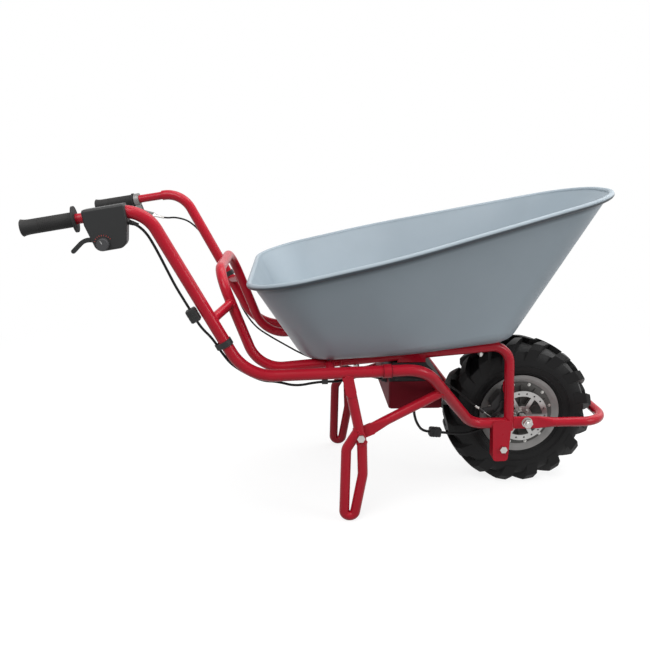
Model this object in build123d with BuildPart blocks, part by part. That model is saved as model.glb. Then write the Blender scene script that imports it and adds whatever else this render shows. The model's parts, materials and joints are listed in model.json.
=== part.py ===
from build123d import *
import os
from math import atan, cos, radians, sin, tan

os.makedirs("parts", exist_ok=True)

# Electric wheelbarrow. X runs forward to the wheel, Y to the left and Z up, in millimetres.
# The origin is on the ground, midway along the barrow. "Spread" is a distance from the centre plane.
# Right-hand pieces are modelled, and the left-hand ones are their mirror images.

# Clearances
weld_gap = 0.2
running_gap = 0.05
hole_gap = 0.3

# Wheel and hub motor
axle_x = 475.0
tyre_diameter = 400.0
tyre_width = 108.0
tyre_wall = 9.0
lug_height = 14.0
lug_width = 21.0
lug_sweep = 44.0
lug_count = 16
rim_seat_diameter = 203.0
rim_flange_height = 6.5
rim_flange_width = 3.0
rim_width = 90.0
rim_well_depth = 8.5
hub_diameter = 176.0
hub_width = 76.0
hub_wall = 8.0
cover_thickness = 5.0
cover_rib_height = 4.0
cover_rib_count = 12
cover_boss_diameter = 56.0
bearing_diameter = 42.0
bearing_width = 12.0
axle_diameter = 20.0
axle_thread_diameter = 14.0
nut_width = 22.0
nut_height = 11.0
washer_diameter = 28.0
washer_thickness = 2.0
air_gap = 1.0
magnet_thickness = 9.0
stator_width = 32.0
stator_teeth = 18
stator_back_width = 12.0
tooth_width = 8.0
tooth_height = 17.0
coil_thickness = 3.0

# Disc brake on the right of the hub
disc_diameter = 140.0
disc_thickness = 2.0
disc_band = 15.0
disc_offset = 63.0
caliper_angle = 144.0
caliper_width = 34.0
caliper_length = 46.0
caliper_height = 50.0
pad_thickness = 3.5
pad_length = 24.0
pad_height = 15.0
pad_gap = 0.3
caliper_arm_length = 46.0
caliper_arm_thickness = 5.5
caliper_pin_diameter = 8.0
bracket_thickness = 4.0

# Handle tubes and lower rails
main_tube_diameter = 28.0
main_tube_wall = 2.0
bar_diameter = 22.2
bar_length = 194.0
handle_end_x = -700.0
handle_end_z = 734.0
handle_end_spread = 295.0
handle_bend_x = -452.0
handle_bend_z = 773.0
handle_bend_radius = 75.0
slope_foot_x = -244.0
slope_foot_radius = 115.0
rail_z = 384.0
rail_front_x = 181.0
rail_front_spread = 218.0
rail_front_radius = 95.0
drop_foot_x = 328.0
drop_foot_radius = 60.0
splice_x = 87.0
splice_length = 20.0
splice_wall = 2.5

# Tray rails, rear hoop and wheel fork
inner_tube_diameter = 25.0
inner_tube_wall = 2.0
hoop_top_x = -309.0
hoop_top_z = 615.0
hoop_top_spread = 165.0
hoop_top_radius = 70.0
tray_rail_rear_x = -219.0
tray_rail_rear_z = 376.0
tray_rail_rear_spread = 171.0
tray_rail_rear_radius = 85.0
fork_top_x = 417.0
fork_top_z = 410.5
fork_spread = 105.0
fork_top_radius = 50.0
fork_foot_x = 429.0
fork_foot_margin = 2.0
rail_joint_x = -20.0
strut_diameter = 22.0
strut_handle_z = 521.0
strut_hoop_z = 540.0
link_diameter = 22.0
link_x = -46.0

# Fork brackets and bumper
axle_line_lift = -2.0
bracket_top_width = 49.0
bracket_foot_width = 39.0
bracket_rear_x = 382.0
bracket_drop = 103.0
bracket_rise = 12.0
bracket_depth = 28.0
bracket_sheet = 3.0
bumper_clearance = 6.9
bumper_corner_radius = 72.0
bumper_tab_thickness = 8.0
bumper_tab_height = 34.0
bumper_tab_end_x = 506.0
bumper_tube_start_x = 546.0
bolt_diameter = 10.0
bolt_head_width = 17.0
bolt_head_height = 7.0
fork_bolt_drop = 69.0
fork_bolt_ahead = 6.0

# Stand
stand_top_x = -9.0
stand_joint_x = 29.0
stand_joint_z = 205.0
stand_tube_diameter = 25.0
stand_strap_length = 52.0
stand_strap_width = 26.0
stand_strap_thickness = 3.0
foot_tube_diameter = 25.0
foot_knee_x = 32.0
foot_knee_z = 122.0
foot_knee_radius = 60.0
foot_toe_x = 12.5
foot_heel_x = -13.0
foot_bend_radius = 13.0
foot_return_x = -9.0
foot_return_z = 190.0
foot_return_radius = 26.0
brace_diameter = 24.0
brace_bolt_lift = 18.0
brace_top_x = 237.0
brace_tab_thickness = 6.0
brace_tab_width = 30.0
brace_flat_length = 34.0
brace_taper_length = 40.0

# Tray
tray_sheet = 2.0
tray_bead_diameter = 14.0
tray_rear_x = -234.0
tray_rear_z = 592.0
tray_slope = 12.5
tray_length = 922.0
tray_width = 676.0
tray_side_length = 335.0
tray_nose_width = 300.0
tray_rear_radius = 140.0
tray_side_radius = 600.0
tray_nose_radius = 185.0
tray_floor_rear_x = -114.0
tray_floor_front_x = 424.0
tray_floor_side_x = 160.0
tray_floor_width = 390.0
tray_floor_nose_width = 290.0
tray_floor_rear_radius = 90.0
tray_floor_side_radius = 300.0
tray_floor_nose_radius = 92.0
tray_floor_bend_radius = 45.0
stud_front_x = 340.0
stud_rear_x = 20.0
stud_diameter = 8.0
stud_end = 10.0

# Battery box under the tray
battery_rear_x = 104.0
battery_length = 136.0
battery_width = 300.0
battery_bottom_z = 258.0
battery_height = 73.0
battery_lid_height = 49.0
battery_lid_slant = 46.0
battery_sheet = 2.5
battery_corner_radius = 10.0
cell_clearance = 8.0
cell_height = 96.0
hanger_width = 22.0
hanger_length = 70.0

# Grips
grip_diameter = 32.0
grip_end_diameter = 37.0
grip_length = 110.0
grip_flare_length = 26.0
grip_flange_diameter = 56.0
grip_collar_diameter = 38.0
grip_flange_width = 4.5
grip_cap = 4.0
grip_ring_count = 18
grip_ring_depth = 0.6

# Control box on the right handle
box_from_end = 172.0
box_length = 90.0
box_foot_length = 62.0
box_rise = 17.0
box_waist = 15.0
box_drop = 74.5
box_front_depth = 25.0
box_rear_depth = 20.0
box_wall = 2.5
box_corner_radius = 18.0
box_edge_radius = 5.0
lever_pin_diameter = 5.0
throttle_pivot_back = 27.0
throttle_pivot_drop = 50.0
throttle_reach = 54.0
throttle_curl = 15.0
throttle_offset = 8.0
lever_hub_diameter = 14.0
throttle_width = 9.5
throttle_thickness = 9.0
knob_diameter = 26.0
knob_height = 13.0
knob_back = 14.0
knob_drop = 59.0
knob_shaft_diameter = 6.0
knob_flute_count = 16

# Brake lever on the left handle
perch_from_end = 119.0
perch_ring_width = 14.0
perch_ring_wall = 6.0
perch_width = 15.0
perch_cheek = 3.8
brake_pivot_ahead = 5.0
brake_pivot_drop = 38.0
brake_blade_reach = 110.0
brake_blade_drop = 57.0
brake_blade_height = 9.0
brake_blade_width = 12.0
adjuster_ahead = 36.0
adjuster_drop = 51.0
adjuster_diameter = 8.0
adjuster_length = 20.0

# Cables
harness_diameter = 6.0
brake_cable_diameter = 5.0
motor_lead_diameter = 7.0
connector_length = 32.0
connector_height = 24.0
connector_width = 20.0
cable_lead = 18.0
tie_width = 14.0
tie_thickness = 2.0
tie_gap = 0.5
clip_x = -61.0

# Values that follow from the sizes above
tyre_radius = tyre_diameter / 2
axle_z = tyre_radius
axle_centre = (axle_x, 0, axle_z)
wheel_axis = Axis(axle_centre, (0, 1, 0))
axle_line_z = axle_z + axle_line_lift
main_radius = main_tube_diameter / 2
inner_radius = inner_tube_diameter / 2
bumper_front_x = axle_x + tyre_radius + bumper_clearance + inner_radius
bar_radius = bar_diameter / 2
stand_radius = stand_tube_diameter / 2


# Places on the frame
def right(x, spread, z):
    return Vector(x, -spread, z)


def handle_spread(x):
    share = (x - handle_end_x) / (rail_front_x - handle_end_x)
    return handle_end_spread + share * (rail_front_spread - handle_end_spread)


def on_handle(x, z):
    return right(x, handle_spread(x), z)


def on_slope(z):
    share = (handle_bend_z - z) / (handle_bend_z - rail_z)
    return on_handle(handle_bend_x + share * (slope_foot_x - handle_bend_x), z)


def on_tray_rail(x):
    share = (x - tray_rail_rear_x) / (fork_top_x - tray_rail_rear_x)
    spread = tray_rail_rear_spread + share * (fork_spread - tray_rail_rear_spread)
    return right(x, spread, tray_rail_rear_z + share * (fork_top_z - tray_rail_rear_z))


def on_fork(z):
    share = (fork_top_z - z) / (fork_top_z - fork_foot_z)
    return right(fork_top_x + share * (fork_foot_x - fork_top_x), fork_spread, z)


def on_hoop(z):
    share = (hoop_top_z - z) / (hoop_top_z - tray_rail_rear_z)
    x = hoop_top_x + share * (tray_rail_rear_x - hoop_top_x)
    return right(x, hoop_top_spread + share * (tray_rail_rear_spread - hoop_top_spread), z)


def on_drop(x):
    share = (x - rail_front_x) / (drop_foot_x - rail_front_x)
    spread = rail_front_spread + share * (fork_spread - rail_front_spread)
    return right(x, spread, rail_z + share * (axle_line_z - rail_z))


def on_leg(z):
    share = (rail_z - z) / (rail_z - stand_joint_z)
    return right(stand_top_x + share * (stand_joint_x - stand_top_x), stand_spread, z)


def to_left(point):
    return Vector(point.X, -point.Y, point.Z)


# Sketch planes: one at a given spread on the right, seen from outside, and one through the axle
def side_plane(spread, x=0, z=0):
    return Plane(origin=(x, -spread, z), x_dir=(1, 0, 0), z_dir=(0, -1, 0))


def wheel_plane(spread):
    return side_plane(spread, axle_x, axle_z)


wheel_section = Plane(origin=axle_centre, x_dir=(0, 1, 0), z_dir=(1, 0, 0))


# Round tubes and rods along straight runs joined by bends
def bent_path(points, radii):
    with BuildLine() as path:
        if radii:
            FilletPolyline(*points, radius=radii)
        else:
            Polyline(*points)
    return path.line


def rod(points, radii, radius, bore=0):
    path = bent_path(points, radii)
    with BuildPart() as bar:
        with BuildSketch(Plane(origin=points[0], z_dir=points[1] - points[0])):
            Circle(radius)
            if bore:
                Circle(bore, mode=Mode.SUBTRACT)
        sweep(path=path)
    return bar.part


def cable(points, diameter, name):
    radii = []
    for before, corner, after in zip(points, points[1:], points[2:]):
        turn = (corner - before).get_angle(after - corner)
        run = min((corner - before).length, (after - corner).length)
        radii.append(0.45 * run / tan(radians(turn) / 2))
    print(name, "bend radii:", [round(radius) for radius in radii])
    return rod(points, radii, diameter / 2)


# A hexagon-headed bolt along Y with its nut, from the head's seat to the nut's seat
def cross_bolt(x, z, head_spread, nut_spread):
    with BuildPart() as bolt:
        with BuildSketch(side_plane(nut_spread - bolt_head_height, x, z)):
            Circle(bolt_diameter / 2)
        extrude(amount=head_spread - nut_spread + bolt_head_height)
        for spread in (head_spread, nut_spread - bolt_head_height):
            with BuildSketch(side_plane(spread, x, z)):
                RegularPolygon(bolt_head_width / 2, 6, major_radius=False)
            extrude(amount=bolt_head_height)
    return bolt.part


# Handle tubes
fork_foot_z = axle_line_z - bumper_tab_height / 2 - fork_foot_margin
stand_spread = handle_spread(stand_top_x)
handle_end = on_handle(handle_end_x, handle_end_z)
handle_bend = on_handle(handle_bend_x, handle_bend_z)
bar_direction = (handle_bend - handle_end).normalized()
bar_shoulder = handle_end + bar_direction * bar_length
splice_point = on_handle(splice_x, rail_z)
handle_route = [bar_shoulder, handle_bend, on_handle(slope_foot_x, rail_z), splice_point]
handle_radii = [handle_bend_radius, slope_foot_radius]
handle_tube = rod(handle_route, handle_radii, main_radius, main_radius - main_tube_wall)
handle_cutter = rod(handle_route, handle_radii, main_radius + weld_gap)
bar_bore = bar_radius - main_tube_wall

with BuildPart() as handle_tube_right:
    add(handle_tube)
    with BuildSketch(Plane(origin=handle_end, z_dir=bar_direction)):
        Circle(bar_radius)
        Circle(bar_bore, mode=Mode.SUBTRACT)
    extrude(amount=bar_length + main_tube_wall)
    with BuildSketch(Plane(origin=bar_shoulder, z_dir=bar_direction)):
        Circle(main_radius)
        Circle(bar_bore, mode=Mode.SUBTRACT)
    extrude(amount=main_tube_wall)
handle_tube_right.part.label = "handle_tube_right"
export_step(handle_tube_right.part, "parts/handle_tube_right.step")

with BuildPart() as handle_tube_left:
    mirror(handle_tube_right.part, about=Plane.XZ)
handle_tube_left.part.label = "handle_tube_left"
export_step(handle_tube_left.part, "parts/handle_tube_left.step")

# Tray rails that turn down into the wheel fork
rail_joint = on_tray_rail(rail_joint_x)
fork_route = [rail_joint, right(fork_top_x, fork_spread, fork_top_z), on_fork(fork_foot_z)]
tray_rail = rod(fork_route, [fork_top_radius], inner_radius, inner_radius - inner_tube_wall)
tray_rail_cutter = rod(fork_route, [fork_top_radius], inner_radius + weld_gap)
tray_rail_slope = (fork_top_z - tray_rail_rear_z) / (fork_top_x - tray_rail_rear_x)
floor_tilt = atan(tray_rail_slope)
floor_up = Vector(-sin(floor_tilt), 0, cos(floor_tilt))
stud_points = [on_tray_rail(stud_rear_x), on_tray_rail(stud_front_x)]
stud_planes = [Plane(origin=point, z_dir=floor_up) for point in stud_points]

with BuildPart() as tray_rail_right:
    add(tray_rail)
    for stud_plane in stud_planes:
        with BuildSketch(stud_plane):
            Circle(stud_diameter / 2 + hole_gap)
        extrude(amount=inner_tube_diameter, both=True, mode=Mode.SUBTRACT)
tray_rail_right.part.label = "tray_rail_right"
export_step(tray_rail_right.part, "parts/tray_rail_right.step")

with BuildPart() as tray_rail_left:
    mirror(tray_rail_right.part, about=Plane.XZ)
tray_rail_left.part.label = "tray_rail_left"
export_step(tray_rail_left.part, "parts/tray_rail_left.step")

# Rear hoop, butted to the tray rails
hoop_end = on_tray_rail(rail_joint_x - weld_gap)
hoop_right = [
    hoop_end,
    right(tray_rail_rear_x, tray_rail_rear_spread, tray_rail_rear_z),
    right(hoop_top_x, hoop_top_spread, hoop_top_z),
]
hoop_route = hoop_right + [to_left(point) for point in reversed(hoop_right)]
hoop_radii = [tray_rail_rear_radius, hoop_top_radius, hoop_top_radius, tray_rail_rear_radius]
hoop_cutter = rod(hoop_route, hoop_radii, inner_radius + weld_gap)

hoop_tube = rod(hoop_route, hoop_radii, inner_radius, inner_radius - inner_tube_wall)

with BuildPart() as rear_hoop:
    add(hoop_tube)
rear_hoop.part.label = "rear_hoop"
export_step(rear_hoop.part, "parts/rear_hoop.step")

# Fork brackets: tapered folded channels under the ends of the front rails
bracket_foot_z = axle_z - bracket_drop
bracket_outer = fork_spread + main_radius + weld_gap
bracket_inset = (bracket_top_width - bracket_foot_width) / 2
front_rail_end = on_fork(axle_line_z)
front_rail_route = [
    splice_point,
    right(rail_front_x, rail_front_spread, rail_z),
    right(drop_foot_x, fork_spread, axle_line_z),
    front_rail_end,
]
front_rail_radii = [rail_front_radius, drop_foot_radius]
front_rail_cutter = rod(front_rail_route, front_rail_radii, main_radius + weld_gap)
fork_bolt_x = bracket_rear_x + bracket_top_width / 2 + fork_bolt_ahead
fork_bolt_z = axle_z - fork_bolt_drop

with BuildPart() as fork_bracket_right:
    with BuildSketch(side_plane(bracket_outer - bracket_depth)) as channel:
        with BuildLine():
            Polyline(
                (bracket_rear_x, axle_line_z),
                (bracket_rear_x + bracket_top_width, axle_line_z),
                (bracket_rear_x + bracket_top_width - bracket_inset, bracket_foot_z),
                (bracket_rear_x + bracket_inset, bracket_foot_z),
                close=True,
            )
        make_face()
        fillet(channel.vertices().group_by(Axis.Y)[0], bracket_inset * 2)
    extrude(amount=bracket_depth + bracket_sheet)
    inner_faces = faces().group_by(Axis.Y)[-1] + faces().group_by(Axis.Z)[-1]
    offset(amount=-bracket_sheet, openings=inner_faces)
    with BuildSketch(side_plane(bracket_outer, bracket_rear_x, axle_line_z)) as ear:
        Rectangle(bracket_top_width, bracket_rise, align=(Align.MIN, Align.MIN))
        fillet(ear.vertices().group_by(Axis.Y)[-1], bracket_rise / 2)
    extrude(amount=bracket_sheet)
    with BuildSketch(side_plane(bracket_outer, fork_bolt_x, fork_bolt_z)):
        Circle(bolt_diameter / 2 + hole_gap)
    extrude(amount=bracket_sheet * 2, both=True, mode=Mode.SUBTRACT)
    add(front_rail_cutter, mode=Mode.SUBTRACT)
    add(tray_rail_cutter, mode=Mode.SUBTRACT)
fork_bracket_right.part.label = "fork_bracket_right"
export_step(fork_bracket_right.part, "parts/fork_bracket_right.step")

with BuildPart() as fork_bracket_left:
    mirror(fork_bracket_right.part, about=Plane.XZ)
fork_bracket_left.part.label = "fork_bracket_left"
export_step(fork_bracket_left.part, "parts/fork_bracket_left.step")

# Front rails, coped to the fork legs
front_rail = rod(front_rail_route, front_rail_radii, main_radius, main_radius - main_tube_wall)

with BuildPart() as front_rail_right:
    add(front_rail)
    add(tray_rail_cutter, mode=Mode.SUBTRACT)
    splice_face = Plane(origin=splice_point, z_dir=front_rail_route[1] - splice_point)
    with BuildSketch(splice_face):
        Circle(main_tube_diameter)
    extrude(amount=weld_gap, mode=Mode.SUBTRACT)
front_rail_right.part.label = "front_rail_right"
export_step(front_rail_right.part, "parts/front_rail_right.step")

with BuildPart() as front_rail_left:
    mirror(front_rail_right.part, about=Plane.XZ)
front_rail_left.part.label = "front_rail_left"
export_step(front_rail_left.part, "parts/front_rail_left.step")

# Splice collars where handle tube and front rail meet
with BuildPart() as splice_collars:
    with BuildSketch(splice_face):
        Circle(main_radius + splice_wall)
        Circle(main_radius + weld_gap, mode=Mode.SUBTRACT)
    extrude(amount=splice_length / 2, both=True)
    collar_rims = edges().filter_by(GeomType.CIRCLE).group_by(SortBy.RADIUS)[-1]
    chamfer(collar_rims, splice_wall / 3)
    mirror(about=Plane.XZ)
splice_collars.part.label = "splice_collars"
export_step(splice_collars.part, "parts/splice_collars.step")

# Struts from the handle tubes to the hoop
strut_route = [on_slope(strut_handle_z), on_hoop(strut_hoop_z)]
strut_tube = rod(strut_route, [], strut_diameter / 2, strut_diameter / 2 - inner_tube_wall)

with BuildPart() as hoop_strut_right:
    add(strut_tube)
    add(handle_cutter, mode=Mode.SUBTRACT)
    add(hoop_cutter, mode=Mode.SUBTRACT)
hoop_strut_right.part.label = "hoop_strut_right"
export_step(hoop_strut_right.part, "parts/hoop_strut_right.step")

with BuildPart() as hoop_strut_left:
    mirror(hoop_strut_right.part, about=Plane.XZ)
hoop_strut_left.part.label = "hoop_strut_left"
export_step(hoop_strut_left.part, "parts/hoop_strut_left.step")

# Links between the lower rails and the hoop
link_radius = link_diameter / 2
link_route = [on_handle(link_x, rail_z), on_tray_rail(link_x)]
link_tube = rod(link_route, [], link_radius, link_radius - inner_tube_wall)

with BuildPart() as rail_links:
    add(link_tube)
    add(handle_cutter, mode=Mode.SUBTRACT)
    add(hoop_cutter, mode=Mode.SUBTRACT)
    mirror(about=Plane.XZ)
rail_links.part.label = "rail_links"
export_step(rail_links.part, "parts/rail_links.step")

# Bumper loop with flattened ends that carry the axle
bumper_corner = right(bumper_front_x, fork_spread, axle_line_z)
bumper_start = right(bumper_tube_start_x, fork_spread, axle_line_z)
bumper_route = [bumper_start, bumper_corner, to_left(bumper_corner), to_left(bumper_start)]
bumper_radii = [bumper_corner_radius, bumper_corner_radius]
bumper_tube = rod(bumper_route, bumper_radii, inner_radius, inner_radius - inner_tube_wall)
round_slot_width = inner_tube_diameter + weld_gap
tab_length = bumper_tab_end_x - front_rail_end.X


def tab_plane(x):
    return Plane(origin=(x, -fork_spread, axle_line_z), x_dir=(0, 0, 1), z_dir=(1, 0, 0))


with BuildPart() as bumper_end:
    with BuildSketch(tab_plane(front_rail_end.X)):
        SlotOverall(bumper_tab_height, bumper_tab_thickness)
    extrude(amount=tab_length)
    with BuildSketch(tab_plane(bumper_tab_end_x)):
        SlotOverall(bumper_tab_height, bumper_tab_thickness)
    with BuildSketch(tab_plane(bumper_tube_start_x)):
        SlotOverall(round_slot_width, inner_tube_diameter)
    loft()
    add(tray_rail_cutter, mode=Mode.SUBTRACT)
    with BuildSketch(wheel_plane(fork_spread)):
        Circle(axle_thread_diameter / 2 + hole_gap)
    extrude(amount=bumper_tab_thickness, both=True, mode=Mode.SUBTRACT)

with BuildPart() as front_bumper:
    add(bumper_tube)
    add(bumper_end.part)
    mirror(bumper_end.part, about=Plane.XZ)
front_bumper.part.label = "front_bumper"
export_step(front_bumper.part, "parts/front_bumper.step")

# Stand legs with a flattened strap under the lower rail
leg_route = [on_leg(rail_z), on_leg(stand_joint_z)]
leg_direction = (leg_route[1] - leg_route[0]).normalized()
leg_tube = rod(leg_route, [], stand_radius, stand_radius - inner_tube_wall)
leg_cutter = rod(leg_route, [], stand_radius + weld_gap)
stand_bolt = on_leg(stand_joint_z + brace_bolt_lift)
leg_outer = stand_spread + stand_radius
strap_top = on_leg(rail_z - main_radius / 2)
strap_plane = Plane(
    origin=right(strap_top.X, leg_outer - stand_strap_thickness / 2, strap_top.Z),
    x_dir=leg_direction,
    z_dir=(0, -1, 0),
)

with BuildPart() as stand_leg_right:
    add(leg_tube)
    with BuildSketch(strap_plane):
        with Locations((stand_strap_length / 2, 0)):
            SlotOverall(stand_strap_length, stand_strap_width)
        with Locations((stand_strap_length / 4, 0)):
            Rectangle(stand_strap_length / 2, stand_strap_width)
    extrude(amount=stand_strap_thickness)
    add(handle_cutter, mode=Mode.SUBTRACT)
    with BuildSketch(side_plane(stand_spread, stand_bolt.X, stand_bolt.Z)):
        Circle(bolt_diameter / 2 + hole_gap)
    extrude(amount=stand_tube_diameter, both=True, mode=Mode.SUBTRACT)
stand_leg_right.part.label = "stand_leg_right"
export_step(stand_leg_right.part, "parts/stand_leg_right.step")

with BuildPart() as stand_leg_left:
    mirror(stand_leg_right.part, about=Plane.XZ)
stand_leg_left.part.label = "stand_leg_left"
export_step(stand_leg_left.part, "parts/stand_leg_left.step")

# Foot loops: one tube down to the ground, round a hairpin and back up to the leg
foot_radius = foot_tube_diameter / 2
foot_route = [
    on_leg(stand_joint_z - weld_gap),
    right(foot_knee_x, stand_spread, foot_knee_z),
    right(foot_toe_x, stand_spread, foot_radius),
    right(foot_heel_x, stand_spread, foot_radius),
    right(foot_return_x, stand_spread, foot_return_z),
    on_leg(foot_return_z + stand_tube_diameter * 2),
]
foot_radii = [foot_knee_radius, foot_bend_radius, foot_bend_radius, foot_return_radius]
foot_tube = rod(foot_route, foot_radii, foot_radius, foot_radius - inner_tube_wall)

with BuildPart() as foot_loop_right:
    add(foot_tube)
    add(leg_cutter, mode=Mode.SUBTRACT)
foot_loop_right.part.label = "foot_loop_right"
export_step(foot_loop_right.part, "parts/foot_loop_right.step")

with BuildPart() as foot_loop_left:
    mirror(foot_loop_right.part, about=Plane.XZ)
foot_loop_left.part.label = "foot_loop_left"
export_step(foot_loop_left.part, "parts/foot_loop_left.step")

# Braces from the legs to the front rails, flattened and bolted at the leg
brace_spread = stand_spread - stand_radius - weld_gap - brace_tab_thickness / 2
brace_foot = right(stand_bolt.X, brace_spread, stand_bolt.Z)
brace_direction = (on_drop(brace_top_x) - brace_foot).normalized()
brace_side = Vector(0, 0, 1).cross(brace_direction).normalized()
brace_rise = brace_direction.cross(brace_side)
brace_round_start = brace_foot + brace_direction * (brace_flat_length + brace_taper_length)
brace_tube = rod(
    [brace_round_start, on_drop(brace_top_x)],
    [],
    brace_diameter / 2,
    brace_diameter / 2 - inner_tube_wall,
)
brace_flat_end = Vector(brace_direction.X, 0, brace_direction.Z).normalized()
brace_tab_plane = Plane(
    origin=right(brace_foot.X, brace_spread + brace_tab_thickness / 2, brace_foot.Z),
    x_dir=brace_flat_end,
    z_dir=(0, 1, 0),
)
brace_tab_reach = brace_foot + brace_flat_end * brace_flat_length

with BuildPart() as stand_brace_right:
    with BuildSketch(brace_tab_plane):
        with Locations((brace_flat_length / 2, 0)):
            Rectangle(brace_flat_length, brace_tab_width)
        Circle(brace_tab_width / 2)
        Circle(bolt_diameter / 2 + hole_gap, mode=Mode.SUBTRACT)
    extrude(amount=brace_tab_thickness)
    with BuildSketch(Plane(origin=brace_tab_reach, x_dir=brace_rise, z_dir=brace_flat_end)):
        SlotOverall(brace_tab_width, brace_tab_thickness)
    with BuildSketch(Plane(origin=brace_round_start, x_dir=brace_rise, z_dir=brace_direction)):
        SlotOverall(brace_diameter + weld_gap, brace_diameter)
    loft()
    add(brace_tube)
    add(front_rail_cutter, mode=Mode.SUBTRACT)
stand_brace_right.part.label = "stand_brace_right"
export_step(stand_brace_right.part, "parts/stand_brace_right.step")

with BuildPart() as stand_brace_left:
    mirror(stand_brace_right.part, about=Plane.XZ)
stand_brace_left.part.label = "stand_brace_left"
export_step(stand_brace_left.part, "parts/stand_brace_left.step")

# Bolts of the fork brackets and the stand
fork_bolt = cross_bolt(
    fork_bolt_x,
    fork_bolt_z,
    bracket_outer + bracket_sheet + weld_gap,
    bracket_outer - weld_gap,
)
leg_bolt = cross_bolt(
    stand_bolt.X,
    stand_bolt.Z,
    stand_spread + stand_radius + weld_gap,
    brace_spread - brace_tab_thickness / 2 - weld_gap,
)

with BuildPart() as frame_bolts:
    add(fork_bolt)
    add(leg_bolt)
    mirror(about=Plane.XZ)
frame_bolts.part.label = "frame_bolts"
export_step(frame_bolts.part, "parts/frame_bolts.step")

# Tray: outline in its own sloping plane, with a straight rear part and a tapering nose
floor_origin = Vector(0, 0, on_tray_rail(0).Z) + floor_up * (inner_radius + weld_gap)
floor_plane = Plane(origin=floor_origin, x_dir=(cos(floor_tilt), 0, sin(floor_tilt)), z_dir=floor_up)
rim_tilt = radians(tray_slope)
rim_plane = Plane(
    origin=(tray_rear_x, 0, tray_rear_z),
    x_dir=(cos(rim_tilt), 0, sin(rim_tilt)),
    z_dir=(-sin(rim_tilt), 0, cos(rim_tilt)),
)
bead_radius = tray_bead_diameter / 2
bead_inset = bead_radius - tray_sheet


def tray_outline(rear, front, side, width, nose, radii):
    rear_radius, side_radius, nose_radius = radii
    with BuildLine(mode=Mode.PRIVATE) as line:
        FilletPolyline(
            (rear, width / 2),
            (side, width / 2),
            (front, nose / 2),
            (front, -nose / 2),
            (side, -width / 2),
            (rear, -width / 2),
            close=True,
            radius=[rear_radius, side_radius, nose_radius, nose_radius, side_radius, rear_radius],
        )
    return line.line


def tray_body(inset, lift):
    floor_radii = (tray_floor_rear_radius, tray_floor_side_radius, tray_floor_nose_radius)
    rim_radii = (tray_rear_radius, tray_side_radius, tray_nose_radius)
    floor = tray_outline(
        tray_floor_rear_x + inset,
        tray_floor_front_x - inset,
        tray_floor_side_x,
        tray_floor_width - 2 * inset,
        tray_floor_nose_width - 2 * inset,
        [radius - inset for radius in floor_radii],
    )
    rim_inset = inset + bead_inset
    rim = tray_outline(
        rim_inset,
        tray_length - rim_inset,
        tray_side_length,
        tray_width - 2 * rim_inset,
        tray_nose_width - 2 * rim_inset,
        [radius - rim_inset for radius in rim_radii],
    )
    with BuildPart() as body:
        with BuildSketch(floor_plane.offset(lift)):
            make_face(floor.edges())
        with BuildSketch(rim_plane):
            make_face(rim.edges())
        loft()
        floor_face = body.faces().sort_by(Axis.Z)[0]
        fillet(floor_face.edges(), tray_floor_bend_radius - lift)
    return body.part


tray_outside = tray_body(0, 0)
tray_inside = tray_body(tray_sheet, tray_sheet)
bead_outline = tray_outline(
    0,
    tray_length,
    tray_side_length,
    tray_width,
    tray_nose_width,
    (tray_rear_radius, tray_side_radius, tray_nose_radius),
)
bead_path = Wire((rim_plane * bead_outline).edges())
bead_section = Plane(origin=bead_path @ 0, z_dir=bead_path % 0)

with BuildPart() as tray:
    add(tray_outside)
    add(tray_inside, mode=Mode.SUBTRACT)
    with BuildSketch(bead_section):
        Circle(bead_radius)
    sweep(path=bead_path)
tray.part.label = "tray"
export_step(tray.part, "parts/tray.step")

# Studs welded under the tray floor, through the tray rails, with their nuts
with BuildPart() as tray_studs:
    for stud_plane in stud_planes:
        with BuildSketch(stud_plane.offset(-inner_radius - weld_gap - stud_end)):
            Circle(stud_diameter / 2)
        extrude(amount=inner_tube_diameter + weld_gap + stud_end)
        with BuildSketch(stud_plane.offset(-inner_radius - weld_gap)):
            RegularPolygon(stud_diameter * 0.8, 6, major_radius=False)
        extrude(amount=-stud_diameter * 0.8)
    mirror(about=Plane.XZ)
tray_studs.part.label = "tray_studs"
export_step(tray_studs.part, "parts/tray_studs.step")

# Battery box, open at the top, with its slant-fronted lid
battery_seam_z = battery_bottom_z + battery_height
battery_top_z = battery_seam_z + battery_lid_height
battery_front_x = battery_rear_x + battery_length
battery_centre_x = battery_rear_x + battery_length / 2

with BuildPart() as battery_box:
    with BuildSketch(Plane.XY.offset(battery_bottom_z)):
        with Locations((battery_centre_x, 0)):
            RectangleRounded(battery_length, battery_width, battery_corner_radius)
    extrude(amount=battery_height)
    fillet(faces().sort_by(Axis.Z)[0].edges(), battery_corner_radius / 2)
    offset(amount=-battery_sheet, openings=faces().sort_by(Axis.Z)[-1])
battery_box.part.label = "battery_box"
export_step(battery_box.part, "parts/battery_box.step")


def lid_side(inset):
    slant_inset = inset * battery_lid_slant / battery_lid_height
    with BuildSketch(side_plane(battery_width / 2 - inset)) as side:
        with BuildLine():
            Polyline(
                (battery_rear_x + inset, battery_seam_z + weld_gap),
                (battery_front_x - inset - slant_inset / 2, battery_seam_z + weld_gap),
                (battery_front_x - battery_lid_slant - inset + slant_inset / 2, battery_top_z - inset),
                (battery_rear_x + inset, battery_top_z - inset),
                close=True,
            )
        make_face()
        fillet(side.vertices().group_by(Axis.Y)[-1], battery_corner_radius - inset)
    return side.sketch


lid_outside = lid_side(0)
lid_inside = lid_side(battery_sheet)

with BuildPart() as battery_lid:
    extrude(lid_outside, amount=-battery_width)
    fillet(edges().group_by(Axis.Y)[0] + edges().group_by(Axis.Y)[-1], battery_sheet * 0.8)
    extrude(lid_inside, amount=-battery_width + 2 * battery_sheet, mode=Mode.SUBTRACT)
battery_lid.part.label = "battery_lid"
export_step(battery_lid.part, "parts/battery_lid.step")

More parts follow.
